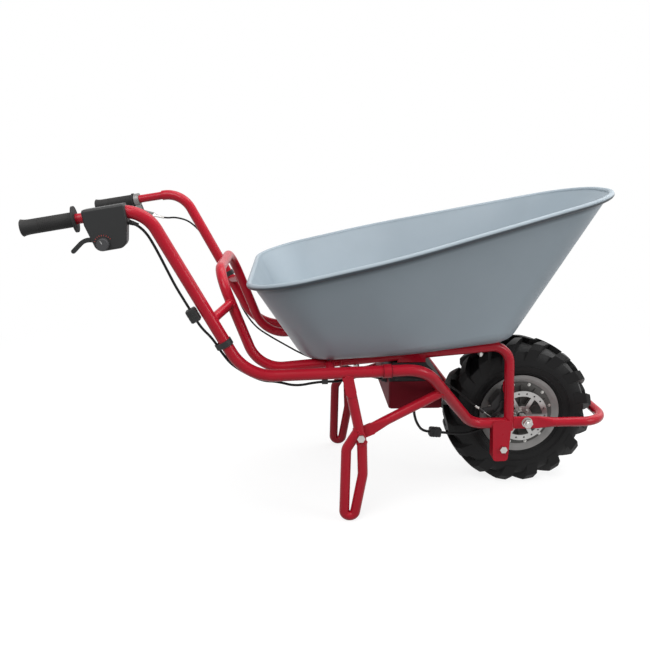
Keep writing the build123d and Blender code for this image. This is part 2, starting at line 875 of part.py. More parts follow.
with BuildPart() as battery_cells:
    cell_floor_z = battery_bottom_z + battery_sheet + weld_gap
    cell_length = battery_length - battery_lid_slant - 2 * battery_sheet
    with BuildSketch(Plane.XY.offset(cell_floor_z)):
        with Locations((battery_rear_x + battery_sheet + cell_clearance + cell_length / 2, 0)):
            RectangleRounded(cell_length, battery_width - 4 * cell_clearance, battery_corner_radius)
    extrude(amount=cell_height)
    chamfer(faces().sort_by(Axis.Z)[-1].edges(), battery_sheet)
battery_cells.part.label = "battery_cells"
export_step(battery_cells.part, "parts/battery_cells.step")

# Hanger bars between the lid and the tray rails
hanger_rear = on_tray_rail(battery_rear_x + battery_corner_radius * 2)
hanger_height = on_tray_rail(battery_front_x).Z - battery_top_z - weld_gap

with BuildPart() as battery_hangers:
    with BuildSketch(Plane.XY.offset(battery_top_z + weld_gap)):
        with Locations((hanger_rear.X, hanger_rear.Y)):
            Rectangle(hanger_length, hanger_width, align=(Align.MIN, Align.CENTER))
    extrude(amount=hanger_height)
    add(tray_rail_cutter, mode=Mode.SUBTRACT)
    hanger_bar = solids().sort_by(Axis.Z)[0]
    add(hanger_bar, mode=Mode.REPLACE)
    mirror(about=Plane.XZ)
battery_hangers.part.label = "battery_hangers"
export_step(battery_hangers.part, "parts/battery_hangers.step")


# Planes across and along a handle bar, at a distance from its end: x runs forward along the bar,
# y up and z out to the right
def bar_plane(from_end, side):
    end = side(handle_end)
    along = (side(handle_bend) - end).normalized()
    return Plane(origin=end + along * from_end, x_dir=along, z_dir=along.cross(Vector(0, 0, 1)))


def right_side(point):
    return point


# Grips: rubber sleeves with fine rings, flared at the outer end. The right one has a wide flange
# towards the controls, the left one a plain collar.
grip_radius = grip_diameter / 2
grip_end_radius = grip_end_diameter / 2
grip_waist = grip_flare_length + grip_cap
grip_pitch = (grip_length - grip_flange_width - grip_waist) / (grip_ring_count + 1)
grip_section = bar_plane(0, right_side)
grip_axis = Axis(grip_section.origin, grip_section.x_dir)


def grip(flange_diameter):
    with BuildPart() as sleeve:
        with BuildSketch(grip_section):
            with BuildLine():
                flare = Spline(
                    (grip_flare_length, grip_radius),
                    (-grip_cap / 2, grip_end_radius),
                    tangents=((-1, 0), (-1, 0.4)),
                )
                Polyline(
                    flare @ 1,
                    (-grip_cap, grip_end_radius - grip_cap / 2),
                    (-grip_cap, 0),
                    (grip_length, 0),
                    (grip_length, flange_diameter / 2),
                    (grip_length - grip_flange_width, flange_diameter / 2),
                    (grip_length - grip_flange_width, grip_radius),
                    flare @ 0,
                )
            make_face()
            with Locations(((grip_length - grip_flange_width + grip_waist) / 2, grip_radius)):
                with GridLocations(grip_pitch, 1, grip_ring_count, 1):
                    Rectangle(grip_pitch / 3, 2 * grip_ring_depth, mode=Mode.SUBTRACT)
            with Locations((-weld_gap, 0)):
                Rectangle(
                    grip_length + 2 * weld_gap,
                    bar_radius + running_gap,
                    align=Align.MIN,
                    mode=Mode.SUBTRACT,
                )
        revolve(axis=grip_axis)
    return sleeve.part


flanged_grip = grip(grip_flange_diameter)
collared_grip = grip(grip_collar_diameter)

with BuildPart() as grip_right:
    add(flanged_grip)
grip_right.part.label = "grip_right"
export_step(grip_right.part, "parts/grip_right.step")

with BuildPart() as grip_left:
    mirror(collared_grip, about=Plane.XZ)
grip_left.part.label = "grip_left"
export_step(grip_left.part, "parts/grip_left.step")

# Control box: a two-part moulding clamped round the right handle bar
box_plane = bar_plane(box_from_end, right_side)
box_half = box_length / 2
box_foot_half = box_foot_length / 2
bar_cutter = rod([handle_end, bar_shoulder], [], bar_radius + running_gap)
throttle_pivot = (-throttle_pivot_back, -throttle_pivot_drop)
knob_centre = (-knob_back, -knob_drop)


def box_outline(lift, inset):
    with BuildSketch(box_plane.offset(lift)) as outline:
        with BuildLine():
            Polyline(
                (-box_half + inset, box_rise - inset),
                (box_half - inset, box_rise - inset),
                (box_half - inset, -box_waist),
                (box_foot_half - inset, -box_drop + inset),
                (-box_foot_half + inset, -box_drop + inset),
                (-box_half + inset, -box_waist),
                close=True,
            )
        make_face()
        fillet(outline.vertices().sort_by(Axis.Y)[:2], box_corner_radius - inset)
        fillet(outline.vertices().sort_by(Axis.Y)[-2:], box_corner_radius / 3 - inset / 2)
    return outline.sketch


def box_saddle(lift):
    with BuildSketch(box_plane.offset(lift)) as saddle:
        Rectangle(box_length - box_wall, 2 * (main_radius + box_wall))
    return saddle.sketch


box_out = Axis((0, 0, 0), box_plane.z_dir)
front_face = box_outline(0, 0)
front_pocket = box_outline(0, box_wall)
front_saddle = box_saddle(0)
pin_radius = lever_pin_diameter / 2
lever_slot_plane = box_plane.offset(throttle_offset)

with BuildPart() as control_box:
    extrude(front_face, amount=box_front_depth)
    fillet(faces().sort_by(box_out)[-1].edges(), box_edge_radius)
    extrude(front_pocket, amount=box_front_depth - box_wall, mode=Mode.SUBTRACT)
    extrude(front_saddle, amount=main_radius + box_wall)
    with BuildSketch(box_plane.offset(throttle_offset + throttle_thickness / 2 + hole_gap)):
        with Locations(throttle_pivot):
            Circle(lever_hub_diameter / 2)
    extrude(until=Until.NEXT)
    with BuildSketch(box_plane):
        with Locations(throttle_pivot):
            Circle(pin_radius + running_gap)
    extrude(amount=box_front_depth - box_wall, mode=Mode.SUBTRACT)
    with BuildSketch(box_plane):
        with Locations(knob_centre):
            Circle(knob_shaft_diameter / 2 + running_gap)
    extrude(amount=box_front_depth, mode=Mode.SUBTRACT)
    with BuildSketch(lever_slot_plane):
        with Locations((-box_half, throttle_pivot[1] + throttle_width * 0.6)):
            Rectangle(box_half - throttle_pivot_back / 2, throttle_width * 2.8)
    extrude(amount=throttle_thickness / 2 + hole_gap, both=True, mode=Mode.SUBTRACT)
    add(bar_cutter, mode=Mode.SUBTRACT)
    add(handle_cutter, mode=Mode.SUBTRACT)
control_box.part.label = "control_box"
export_step(control_box.part, "parts/control_box.step")

rear_face = box_outline(-weld_gap, 0)
rear_pocket = box_outline(-weld_gap, box_wall)
rear_saddle = box_saddle(-weld_gap)

with BuildPart() as control_clamp:
    extrude(rear_face, amount=-box_rear_depth)
    fillet(faces().sort_by(box_out)[0].edges(), box_edge_radius)
    extrude(rear_pocket, amount=-box_rear_depth + box_wall, mode=Mode.SUBTRACT)
    extrude(rear_saddle, amount=-main_radius - box_wall)
    add(bar_cutter, mode=Mode.SUBTRACT)
    add(handle_cutter, mode=Mode.SUBTRACT)
control_clamp.part.label = "control_clamp"
export_step(control_clamp.part, "parts/control_clamp.step")

# Throttle lever under the right grip
throttle_knee = (throttle_pivot[0] - throttle_reach / 2, throttle_pivot[1] + throttle_width / 2)
throttle_tip = (throttle_pivot[0] - throttle_reach, throttle_pivot[1] - throttle_curl)

with BuildPart() as throttle_lever:
    with BuildSketch(lever_slot_plane):
        with BuildLine():
            FilletPolyline(throttle_pivot, throttle_knee, throttle_tip, radius=throttle_reach / 2)
        trace(line_width=throttle_width)
        with Locations(throttle_tip):
            Circle(throttle_width / 2)
        with Locations(throttle_pivot):
            Circle(lever_hub_diameter / 2)
            Circle(pin_radius + running_gap, mode=Mode.SUBTRACT)
    extrude(amount=throttle_thickness / 2, both=True)
throttle_lever.part.label = "throttle_lever"
export_step(throttle_lever.part, "parts/throttle_lever.step")

# Speed knob on the face of the control box
knob_radius = knob_diameter / 2

with BuildPart() as speed_knob:
    with BuildSketch(box_plane.offset(box_front_depth + hole_gap)):
        with Locations(knob_centre):
            Circle(knob_radius)
    extrude(amount=knob_height)
    chamfer(faces().sort_by(box_out)[-1].edges(), knob_height / 8)
    with BuildSketch(box_plane.offset(box_front_depth + hole_gap + knob_height / 4)):
        with Locations(knob_centre):
            with PolarLocations(knob_radius, knob_flute_count):
                Circle(knob_radius / knob_flute_count)
    extrude(amount=knob_height, mode=Mode.SUBTRACT)
    with BuildSketch(box_plane.offset(box_front_depth + hole_gap)):
        with Locations(knob_centre):
            Circle(knob_shaft_diameter / 2)
    extrude(amount=-box_wall * 2)
speed_knob.part.label = "speed_knob"
export_step(speed_knob.part, "parts/speed_knob.step")

# Brake perch, clamped to the left handle bar
perch_plane = bar_plane(perch_from_end, to_left)
perch_across = Plane(origin=perch_plane.origin, z_dir=perch_plane.x_dir)
perch_half = perch_width / 2
tongue_half = perch_half - perch_cheek
brake_pivot = (brake_pivot_ahead, -brake_pivot_drop)
adjuster_seat = (adjuster_ahead, -adjuster_drop)
perch_ring_radius = bar_radius + perch_ring_wall

with BuildPart() as brake_perch:
    with BuildSketch(perch_plane):
        with BuildLine():
            Polyline((0, -bar_radius), brake_pivot, adjuster_seat)
        trace(line_width=lever_hub_diameter)
        with Locations(brake_pivot):
            Circle(lever_hub_diameter / 2)
    extrude(amount=perch_half, both=True)
    with BuildSketch(perch_plane):
        with Locations((brake_pivot[0] + lever_hub_diameter * 0.7, -perch_ring_radius - hole_gap)):
            Rectangle(lever_hub_diameter * 3, brake_pivot_drop * 2, align=Align.MAX)
    extrude(amount=tongue_half + hole_gap, both=True, mode=Mode.SUBTRACT)
    with BuildSketch(perch_across):
        Circle(perch_ring_radius)
    extrude(amount=perch_ring_width / 2, both=True)
    with BuildSketch(perch_across):
        Circle(bar_radius + running_gap)
    extrude(amount=brake_blade_reach, both=True, mode=Mode.SUBTRACT)
    with BuildSketch(perch_plane):
        with Locations(brake_pivot):
            Circle(pin_radius + running_gap)
    extrude(amount=perch_width, both=True, mode=Mode.SUBTRACT)
brake_perch.part.label = "brake_perch"
export_step(brake_perch.part, "parts/brake_perch.step")

# Brake lever: a tongue between the perch's cheeks and a wider blade under the left grip
blade_start = (-lever_hub_diameter * 1.6, -brake_pivot_drop - brake_blade_height * 0.8)
blade_low = (-brake_blade_reach * 0.72, -brake_blade_drop)
blade_tip = (-brake_blade_reach, -brake_blade_drop + brake_blade_height / 2)

with BuildPart() as brake_lever:
    with BuildSketch(perch_plane):
        with BuildLine():
            Polyline(brake_pivot, blade_start)
        trace(line_width=brake_blade_height)
        with Locations(brake_pivot):
            Circle(lever_hub_diameter / 2 - hole_gap)
    extrude(amount=tongue_half, both=True)
    with BuildSketch(perch_plane):
        with BuildLine():
            FilletPolyline(blade_start, blade_low, blade_tip, radius=brake_blade_drop)
        trace(line_width=brake_blade_height)
        with Locations(blade_tip):
            Circle(brake_blade_height * 0.6)
        with Locations(blade_start):
            Circle(brake_blade_height / 2)
    extrude(amount=brake_blade_width / 2, both=True)
    with BuildSketch(perch_plane):
        with Locations(brake_pivot):
            Circle(pin_radius + running_gap)
    extrude(amount=perch_width, both=True, mode=Mode.SUBTRACT)
brake_lever.part.label = "brake_lever"
export_step(brake_lever.part, "parts/brake_lever.step")

# Hinge pins of the two levers
with BuildPart() as lever_pins:
    with BuildSketch(box_plane.offset(-box_rear_depth + box_wall)):
        with Locations(throttle_pivot):
            Circle(pin_radius)
    extrude(amount=box_rear_depth + box_front_depth - 2 * box_wall - weld_gap)
    with BuildSketch(perch_plane):
        with Locations(brake_pivot):
            Circle(pin_radius)
    extrude(amount=perch_half, both=True)
lever_pins.part.label = "lever_pins"
export_step(lever_pins.part, "parts/lever_pins.step")

# Cable adjuster screwed into the perch
adjuster_line = Vector(*adjuster_seat) - Vector(*brake_pivot)
adjuster_start = perch_plane.from_local_coords(Vector(*adjuster_seat))
adjuster_end_local = Vector(*adjuster_seat) + adjuster_line.normalized() * adjuster_length
adjuster_end = perch_plane.from_local_coords(adjuster_end_local)
adjuster_along = (adjuster_end - adjuster_start).normalized()

with BuildPart() as barrel_adjuster:
    with BuildSketch(Plane(origin=adjuster_start + adjuster_along * weld_gap, z_dir=adjuster_along)):
        RegularPolygon(adjuster_diameter * 0.75, 8)
    extrude(amount=adjuster_length / 3)
    with BuildSketch(Plane(origin=adjuster_end, z_dir=adjuster_along)):
        Circle(adjuster_diameter / 2)
    extrude(amount=-adjuster_length * 0.8)
barrel_adjuster.part.label = "barrel_adjuster"
export_step(barrel_adjuster.part, "parts/barrel_adjuster.step")

# Rim: a cast ring with bead seats, a drop well and flanges
rim_half = rim_width / 2
seat_radius = rim_seat_diameter / 2
flange_radius = seat_radius + rim_flange_height
hub_radius = hub_diameter / 2
flange_face = rim_half - rim_flange_width
well_half = rim_half * 0.53

with BuildPart() as rim:
    with BuildSketch(wheel_section):
        with BuildLine():
            Polyline(
                (0, hub_radius + weld_gap),
                (hub_width / 2 + cover_thickness / 2, hub_radius + weld_gap),
                (rim_half - 1.5, seat_radius - rim_flange_width),
                (rim_half, flange_radius),
                (flange_face, flange_radius),
                (flange_face - 1, seat_radius),
                (well_half + rim_well_depth * 0.7, seat_radius - 1),
                (well_half, seat_radius - rim_well_depth),
                (0, seat_radius - rim_well_depth),
                close=True,
            )
        make_face()
        mirror(about=Plane.YZ)
    revolve(axis=wheel_axis)
rim.part.label = "rim"
export_step(rim.part, "parts/rim.step")

# Tyre: a hollow carcass with staggered chevron lugs
tyre_half = tyre_width / 2
carcass_radius = tyre_radius - lug_height
bulge_radius = (flange_radius + carcass_radius) / 2 - tyre_wall / 2
shoulder = Vector(tyre_half - tyre_wall, carcass_radius - tyre_wall * 1.3)
inner_shoulder = Vector(shoulder.X - tyre_wall, shoulder.Y - tyre_wall)
bead_heel = Vector(flange_face - 1 - weld_gap, seat_radius + weld_gap)
bead_top = Vector(flange_face - 2 * weld_gap, flange_radius)
inner_bead = Vector(bead_heel.X - tyre_wall, flange_radius + tyre_wall / 3)
crown_inside = (0, carcass_radius - tyre_wall)

with BuildPart() as carcass:
    with BuildSketch(wheel_section):
        with BuildLine():
            crown = TangentArc((0, carcass_radius), shoulder, tangent=(1, 0))
            ThreePointArc(shoulder, (tyre_half, bulge_radius), bead_top)
            Polyline(bead_top, bead_heel, (bead_heel.X - tyre_wall, bead_heel.Y), inner_bead)
            ThreePointArc(inner_bead, (tyre_half - tyre_wall, bulge_radius), inner_shoulder)
            TangentArc(crown_inside, inner_shoulder, tangent=(1, 0))
            Line(crown_inside, crown @ 0)
        make_face()
        mirror(about=Plane.YZ)
    revolve(axis=wheel_axis)

lug_root = tyre_wall / 3

with BuildPart() as lug:
    with BuildSketch(wheel_section):
        with BuildLine():
            lug_crown = TangentArc((0, tyre_radius), (shoulder.X, tyre_radius - lug_root), tangent=(1, 0))
            Polyline(
                lug_crown @ 1,
                (tyre_half, carcass_radius - lug_root),
                (tyre_half, bulge_radius + tyre_wall),
                (shoulder.X, shoulder.Y - lug_root),
                (0, carcass_radius - lug_root),
                lug_crown @ 0,
            )
        make_face()
        mirror(about=Plane.YZ)
    revolve(axis=wheel_axis)
    with BuildSketch(Plane.XY.offset(axle_z)):
        with Locations((axle_x, 0)):
            Polygon(
                (-lug_width / 2, lug_root),
                (lug_width / 2, lug_root),
                (lug_width * 0.7 - lug_sweep, -tyre_half),
                (-lug_width * 0.7 - lug_sweep, -tyre_half),
                align=None,
            )
    extrude(amount=tyre_diameter, mode=Mode.INTERSECT)

lug_pitch = 360 / lug_count
left_lug = mirror(lug.part, about=Plane.XZ).rotate(wheel_axis, lug_pitch / 2)
lug_pair = [lug.part, left_lug]
lugs = [part.rotate(wheel_axis, lug_pitch * step) for part in lug_pair for step in range(lug_count)]

with BuildPart() as tyre:
    add(carcass.part)
    add(lugs)
tyre.part.label = "tyre"
export_step(tyre.part, "parts/tyre.step")

# Hub motor shell, magnets and covers
hub_half = hub_width / 2
magnet_outer = hub_radius - hub_wall - weld_gap
stator_radius = magnet_outer - magnet_thickness - air_gap
axle_radius = axle_diameter / 2
bearing_radius = bearing_diameter / 2
bearing_seat = hub_half - bearing_width + cover_thickness
cover_face = hub_half + cover_thickness
boss_radius = cover_boss_diameter / 2
disc_face = disc_offset - disc_thickness / 2
boss_face = disc_face - weld_gap


def ring(plane, outer, inner, depth):
    with BuildPart() as band:
        with BuildSketch(plane):
            Circle(outer)
            Circle(inner, mode=Mode.SUBTRACT)
        extrude(amount=depth / 2, both=True)
    return band.part


shell_ring = ring(wheel_plane(0), hub_radius, hub_radius - hub_wall, hub_width)
magnet_band = ring(wheel_plane(0), magnet_outer, magnet_outer - magnet_thickness, stator_width)

with BuildPart() as hub_shell:
    add(shell_ring)
hub_shell.part.label = "hub_shell"
export_step(hub_shell.part, "parts/hub_shell.step")

with BuildPart() as magnet_ring:
    add(magnet_band)
magnet_ring.part.label = "magnet_ring"
export_step(magnet_ring.part, "parts/magnet_ring.step")


def hub_cover(boss_end):
    rib_inner = boss_radius - weld_gap
    rib_outer = hub_radius - hub_wall
    with BuildPart() as cover:
        with BuildSketch(wheel_plane(hub_half + weld_gap)):
            Circle(hub_radius)
        extrude(amount=cover_thickness)
        with BuildSketch(wheel_plane(bearing_seat)):
            Circle(boss_radius)
        extrude(amount=boss_end - bearing_seat)
        with BuildSketch(wheel_plane(cover_face)):
            with PolarLocations((rib_inner + rib_outer) / 2, cover_rib_count):
                Rectangle(rib_outer - rib_inner, cover_rib_height)
        extrude(amount=cover_rib_height + weld_gap)
        with BuildSketch(wheel_plane(bearing_seat - cover_thickness)):
            Circle(bearing_radius + weld_gap)
        extrude(amount=bearing_width + cover_thickness, mode=Mode.SUBTRACT)
        with BuildSketch(wheel_plane(bearing_seat)):
            Circle(axle_radius + air_gap)
        extrude(amount=boss_end, mode=Mode.SUBTRACT)
    return cover.part


right_cover = hub_cover(boss_face)
plain_cover = hub_cover(cover_face + 2 * cover_rib_height)

with BuildPart() as hub_cover_right:
    add(right_cover)
hub_cover_right.part.label = "hub_cover_right"
export_step(hub_cover_right.part, "parts/hub_cover_right.step")

with BuildPart() as hub_cover_left:
    mirror(plain_cover, about=Plane.XZ)
hub_cover_left.part.label = "hub_cover_left"
export_step(hub_cover_left.part, "parts/hub_cover_left.step")

bearing_plane = wheel_plane(bearing_seat + bearing_width / 2 - weld_gap)
bearing_band = ring(bearing_plane, bearing_radius, axle_radius + running_gap, bearing_width - weld_gap)

with BuildPart() as wheel_bearings:
    add(bearing_band)
    mirror(about=Plane.XZ)
wheel_bearings.part.label = "wheel_bearings"
export_step(wheel_bearings.part, "parts/wheel_bearings.step")

# Brake disc on the right cover's boss
disc_radius = disc_diameter / 2
disc_inner = disc_radius - disc_band

with BuildPart() as brake_disc:
    with BuildSketch(wheel_plane(disc_face)):
        Circle(disc_radius)
        Circle(disc_inner, mode=Mode.SUBTRACT)
        with PolarLocations((disc_inner + boss_radius) / 2, 6):
            Rectangle(disc_inner - boss_radius + disc_band, disc_band * 0.7)
        Circle(boss_radius)
        Circle(axle_radius + 2 * air_gap, mode=Mode.SUBTRACT)
        with PolarLocations(disc_radius - disc_band / 2, 18):
            Circle(disc_band / 6, mode=Mode.SUBTRACT)
    extrude(amount=disc_thickness)
brake_disc.part.label = "brake_disc"
export_step(brake_disc.part, "parts/brake_disc.step")

# Axle with shoulders against the bumper's tabs, and its nuts and washers
tab_inner = fork_spread - bumper_tab_thickness / 2
tab_outer = fork_spread + bumper_tab_thickness / 2
nut_seat = tab_outer + washer_thickness + 2 * weld_gap
thread_end = nut_seat + nut_height * 1.4

with BuildPart() as axle:
    with BuildSketch(wheel_plane(0)):
        Circle(axle_radius)
    extrude(amount=tab_inner - weld_gap, both=True)
    with BuildSketch(wheel_plane(0)):
        Circle(axle_thread_diameter / 2)
    extrude(amount=thread_end, both=True)
    chamfer(faces().filter_by(GeomType.PLANE).sort_by(Axis.Y)[0].edges(), weld_gap * 8)
    chamfer(faces().filter_by(GeomType.PLANE).sort_by(Axis.Y)[-1].edges(), weld_gap * 8)
axle.part.label = "axle"
export_step(axle.part, "parts/axle.step")

with BuildPart() as axle_nuts:
    with BuildSketch(wheel_plane(tab_outer + weld_gap)):
        Circle(washer_diameter / 2)
        Circle(axle_thread_diameter / 2 + running_gap, mode=Mode.SUBTRACT)
    extrude(amount=washer_thickness)
    with BuildSketch(wheel_plane(nut_seat)):
        RegularPolygon(nut_width / 2, 6, major_radius=False)
        Circle(axle_thread_diameter / 2 + running_gap, mode=Mode.SUBTRACT)
    extrude(amount=nut_height)
    mirror(about=Plane.XZ)
axle_nuts.part.label = "axle_nuts"
export_step(axle_nuts.part, "parts/axle_nuts.step")

# Stator on the axle, with its coils
stator_core = stator_radius - tooth_height
stator_pitch = 360 / stator_teeth
tooth_centre = stator_radius - tooth_height / 2

with BuildPart() as motor_stator:
    with BuildSketch(wheel_plane(0)):
        Circle(stator_core)
        with PolarLocations(tooth_centre, stator_teeth):
            Rectangle(tooth_height + air_gap, tooth_width)
        Circle(stator_core - stator_back_width, mode=Mode.SUBTRACT)
        with PolarLocations((stator_core - stator_back_width + axle_radius) / 2, 3):
            Rectangle(stator_core - stator_back_width - axle_radius + air_gap * 8, tooth_width * 1.5)
        Circle(axle_radius + tooth_width)
        Circle(axle_radius + running_gap, mode=Mode.SUBTRACT)
    extrude(amount=stator_width / 2 - weld_gap, both=True)
motor_stator.part.label = "motor_stator"
export_step(motor_stator.part, "parts/motor_stator.step")

coil_height = tooth_height * 0.6
coil_hole = stator_width

with BuildPart() as coil:
    with BuildSketch(Plane(origin=(axle_x, 0, axle_z + tooth_centre), z_dir=(0, 0, 1))):
        Rectangle(tooth_width + 2 * coil_thickness, coil_hole + 2 * coil_thickness)
        Rectangle(tooth_width + 2 * weld_gap, coil_hole, mode=Mode.SUBTRACT)
    extrude(amount=coil_height / 2, both=True)

coils = [coil.part.rotate(wheel_axis, stator_pitch * (step + 0.5)) for step in range(stator_teeth)]

with BuildPart() as stator_coils:
    add(coils)
stator_coils.part.label = "stator_coils"
export_step(stator_coils.part, "parts/stator_coils.step")

# Brake caliper: a bridged block over the disc's edge. Its plane has x away from the axle.
caliper_inner = disc_offset - (caliper_width - 2 * caliper_pin_diameter) / 2 - pad_thickness
caliper_outer = caliper_inner + caliper_width
caliper_out = Vector(cos(radians(caliper_angle)), 0, sin(radians(caliper_angle)))
caliper_reach = disc_radius + pad_thickness
caliper_foot = Vector(*axle_centre) + caliper_out * caliper_reach
pad_place = (disc_radius - disc_band / 2 - caliper_reach, 0)
arm_spread = caliper_outer + hole_gap + caliper_arm_thickness / 2
stop_radius = caliper_pin_diameter * 0.6
stop_start = caliper_arm_length * 0.65
stop_end = caliper_arm_length
ear_place = (stop_start + stop_radius, caliper_arm_length)
lug_place = (caliper_height * 0.36, -caliper_length * 0.84)
bracket_face = fork_spread - inner_radius - weld_gap
bracket_back = bracket_face - bracket_thickness
slot_half = pad_thickness / 2 + disc_thickness / 2


def caliper_plane(spread):
    origin = (caliper_foot.X, -spread, caliper_foot.Z)
    return Plane(origin=origin, x_dir=caliper_out, z_dir=(0, -1, 0))


stop_axis = Plane(
    origin=caliper_plane(arm_spread).from_local_coords(Vector(stop_start, caliper_arm_length)),
    z_dir=caliper_out,
)

with BuildPart() as brake_caliper:
    with BuildSketch(caliper_plane(caliper_inner)):
        RectangleRounded(caliper_height, caliper_length, caliper_pin_diameter)
    extrude(amount=caliper_width)
    with BuildSketch(caliper_plane(caliper_outer - stop_radius)):
        with BuildLine():
            Line((0, caliper_length / 4), ear_place)
        trace(line_width=2 * stop_radius)
        with Locations(ear_place):
            Circle(stop_radius)
    extrude(amount=stop_radius)
    with BuildSketch(stop_axis):
        Circle(stop_radius)
    extrude(amount=stop_end - stop_start)
    with BuildSketch(stop_axis):
        Circle(brake_cable_diameter / 4)
    extrude(amount=stop_end, mode=Mode.SUBTRACT)
    with BuildSketch(caliper_plane(caliper_outer - caliper_width / 2)):
        with BuildLine():
            Line((0, -caliper_length / 4), lug_place)
        trace(line_width=2.4 * caliper_pin_diameter)
    extrude(amount=caliper_width / 2)
    with BuildSketch(caliper_plane(caliper_outer - caliper_width / 2)):
        with Locations(lug_place):
            Circle(1.2 * caliper_pin_diameter)
    extrude(amount=bracket_back - weld_gap - caliper_outer + caliper_width / 2)
    with BuildSketch(wheel_plane(disc_offset)):
        Circle(disc_radius + slot_half)
    extrude(amount=slot_half, both=True, mode=Mode.SUBTRACT)
    with BuildSketch(caliper_plane(disc_offset)):
        with Locations(pad_place):
            Rectangle(pad_height + 2 * pad_gap, pad_length + 2 * pad_gap)
    extrude(amount=disc_thickness / 2 + pad_thickness + 2 * pad_gap, both=True, mode=Mode.SUBTRACT)
    with BuildSketch(caliper_plane(caliper_outer)):
        Circle(caliper_pin_diameter / 2 + running_gap)
    extrude(amount=-caliper_pin_diameter - weld_gap, mode=Mode.SUBTRACT)
brake_caliper.part.label = "brake_caliper"
export_step(brake_caliper.part, "parts/brake_caliper.step")

with BuildPart() as brake_pads:
    for pad_face in (disc_offset + disc_thickness / 2, disc_offset - disc_thickness / 2):
        pad_side = 1 if pad_face > disc_offset else -1
        with BuildSketch(caliper_plane(pad_face + pad_side * pad_gap)):
            with Locations(pad_place):
                Rectangle(pad_height, pad_length)
        extrude(amount=pad_side * pad_thickness)
brake_pads.part.label = "brake_pads"
export_step(brake_pads.part, "parts/brake_pads.step")

# Caliper arm that the brake cable pulls
with BuildPart() as caliper_arm:
    with BuildSketch(caliper_plane(caliper_outer + hole_gap)):
        with BuildLine():
            Line((0, 0), (0, caliper_arm_length))
        trace(line_width=caliper_pin_diameter)
        Circle(caliper_pin_diameter * 1.2)
        with Locations((0, caliper_arm_length)):
            Circle(caliper_pin_diameter * 0.6)
    extrude(amount=caliper_arm_thickness)
    with BuildSketch(caliper_plane(caliper_outer + hole_gap)):
        Circle(caliper_pin_diameter / 2)
    extrude(amount=-caliper_pin_diameter)
caliper_arm.part.label = "caliper_arm"
export_step(caliper_arm.part, "parts/caliper_arm.step")

# Bracket plate on the fork leg that carries the caliper
lug_centre = caliper_plane(bracket_back).from_local_coords(Vector(*lug_place))
fork_point = on_fork(lug_centre.Z + 2 * caliper_pin_diameter)

with BuildPart() as caliper_bracket:
    with BuildSketch(side_plane(bracket_back)):
        with Locations((lug_centre.X, lug_centre.Z), (fork_point.X, fork_point.Z)):
            Circle(1.5 * caliper_pin_diameter)
        make_hull()
    extrude(amount=bracket_thickness)
caliper_bracket.part.label = "caliper_bracket"
export_step(caliper_bracket.part, "parts/caliper_bracket.step")

# Places beside the handle tubes for the cables: behind the slope and out from its plane
slope_along = (on_slope(rail_z) - handle_bend).normalized()
slope_out = bar_direction.cross(Vector(0, 0, 1)).normalized()
slope_behind = slope_along.cross(slope_out)


def beside_slope(z, behind, out=0):
    return on_slope(z) + slope_behind * behind + slope_out * out


# A moulded connector block on a cable, and a strap round a tube and a cable
def connector(centre, along):
    with BuildPart() as block:
        with BuildSketch(Plane(origin=centre, x_dir=(0, 1, 0), z_dir=along)):
            RectangleRounded(connector_width, connector_height, connector_width / 5)
        extrude(amount=connector_length / 2, both=True)
        chamfer(faces().sort_by(Axis(centre, along))[-1].edges(), connector_width / 8)
        chamfer(faces().sort_by(Axis(centre, along))[0].edges(), connector_width / 8)
    return block.part


def tie_band(tube_point, along, cable_point, cable_diameter):
    apart = cable_point - tube_point
    cable_radius = cable_diameter / 2 + tie_gap
    plane = Plane(origin=tube_point, x_dir=apart, z_dir=along)
    with BuildPart() as band:
        with BuildSketch(plane):
            Circle(main_radius + tie_gap + tie_thickness)
            with Locations((apart.length, 0)):
                Circle(cable_radius + tie_thickness)
            make_hull()
        extrude(amount=tie_width / 2, both=True)
        with BuildSketch(plane):
            Circle(main_radius + tie_gap)
            with Locations((apart.length, 0)):
                Circle(cable_radius)
            make_hull()
        extrude(amount=tie_width, both=True, mode=Mode.SUBTRACT)
    return band.part


# Control harness, in two lengths with a connector between them
connector_centre = beside_slope(548, 29)
clip_z = rail_z - main_radius - harness_diameter
connector_end = slope_along * (connector_length / 2 + weld_gap)
connector_run = slope_along * (connector_length / 2 + cable_lead)
harness_exit = box_plane.from_local_coords(Vector(box_half - weld_gap * 5, -box_waist * 1.6))
upper_harness_route = [
    harness_exit,
    on_handle(-469, 739),
    on_handle(-448, 720),
    on_handle(-430, 685),
    on_handle(-411, 642),
    on_handle(-393, 601),
    connector_centre - connector_run,
    connector_centre - connector_end,
]
lower_harness_route = [
    connector_centre + connector_end,
    connector_centre + connector_run,
    beside_slope(488, 19.5),
    beside_slope(448, 18.5),
    on_handle(-275.3, 403.4),
    on_handle(-212, 365.4),
    on_handle(-172, 364.5),
    on_handle(-130, 353),
    on_handle(clip_x - 19, clip_z),
    on_handle(clip_x + 19, clip_z),
    right(-24, 220, 358),
    right(-6, 192, 355),
    right(22, 160, 349),
    right(52, 128, 340),
    right(battery_rear_x - cable_lead * 1.6, 104, 328),
    right(battery_rear_x - cable_lead * 0.8, 98, 322),
    right(battery_rear_x - weld_gap, 98, 322),
]
upper_harness = cable(upper_harness_route, harness_diameter, "upper harness")
lower_harness = cable(lower_harness_route, harness_diameter, "lower harness")
harness_block = connector(connector_centre, slope_along)

with BuildPart() as harness_cable:
    add(upper_harness)
    add(lower_harness)
harness_cable.part.label = "harness_cable"
export_step(harness_cable.part, "parts/harness_cable.step")

with BuildPart() as harness_connector:
    add(harness_block)
harness_connector.part.label = "harness_connector"
export_step(harness_connector.part, "parts/harness_connector.step")

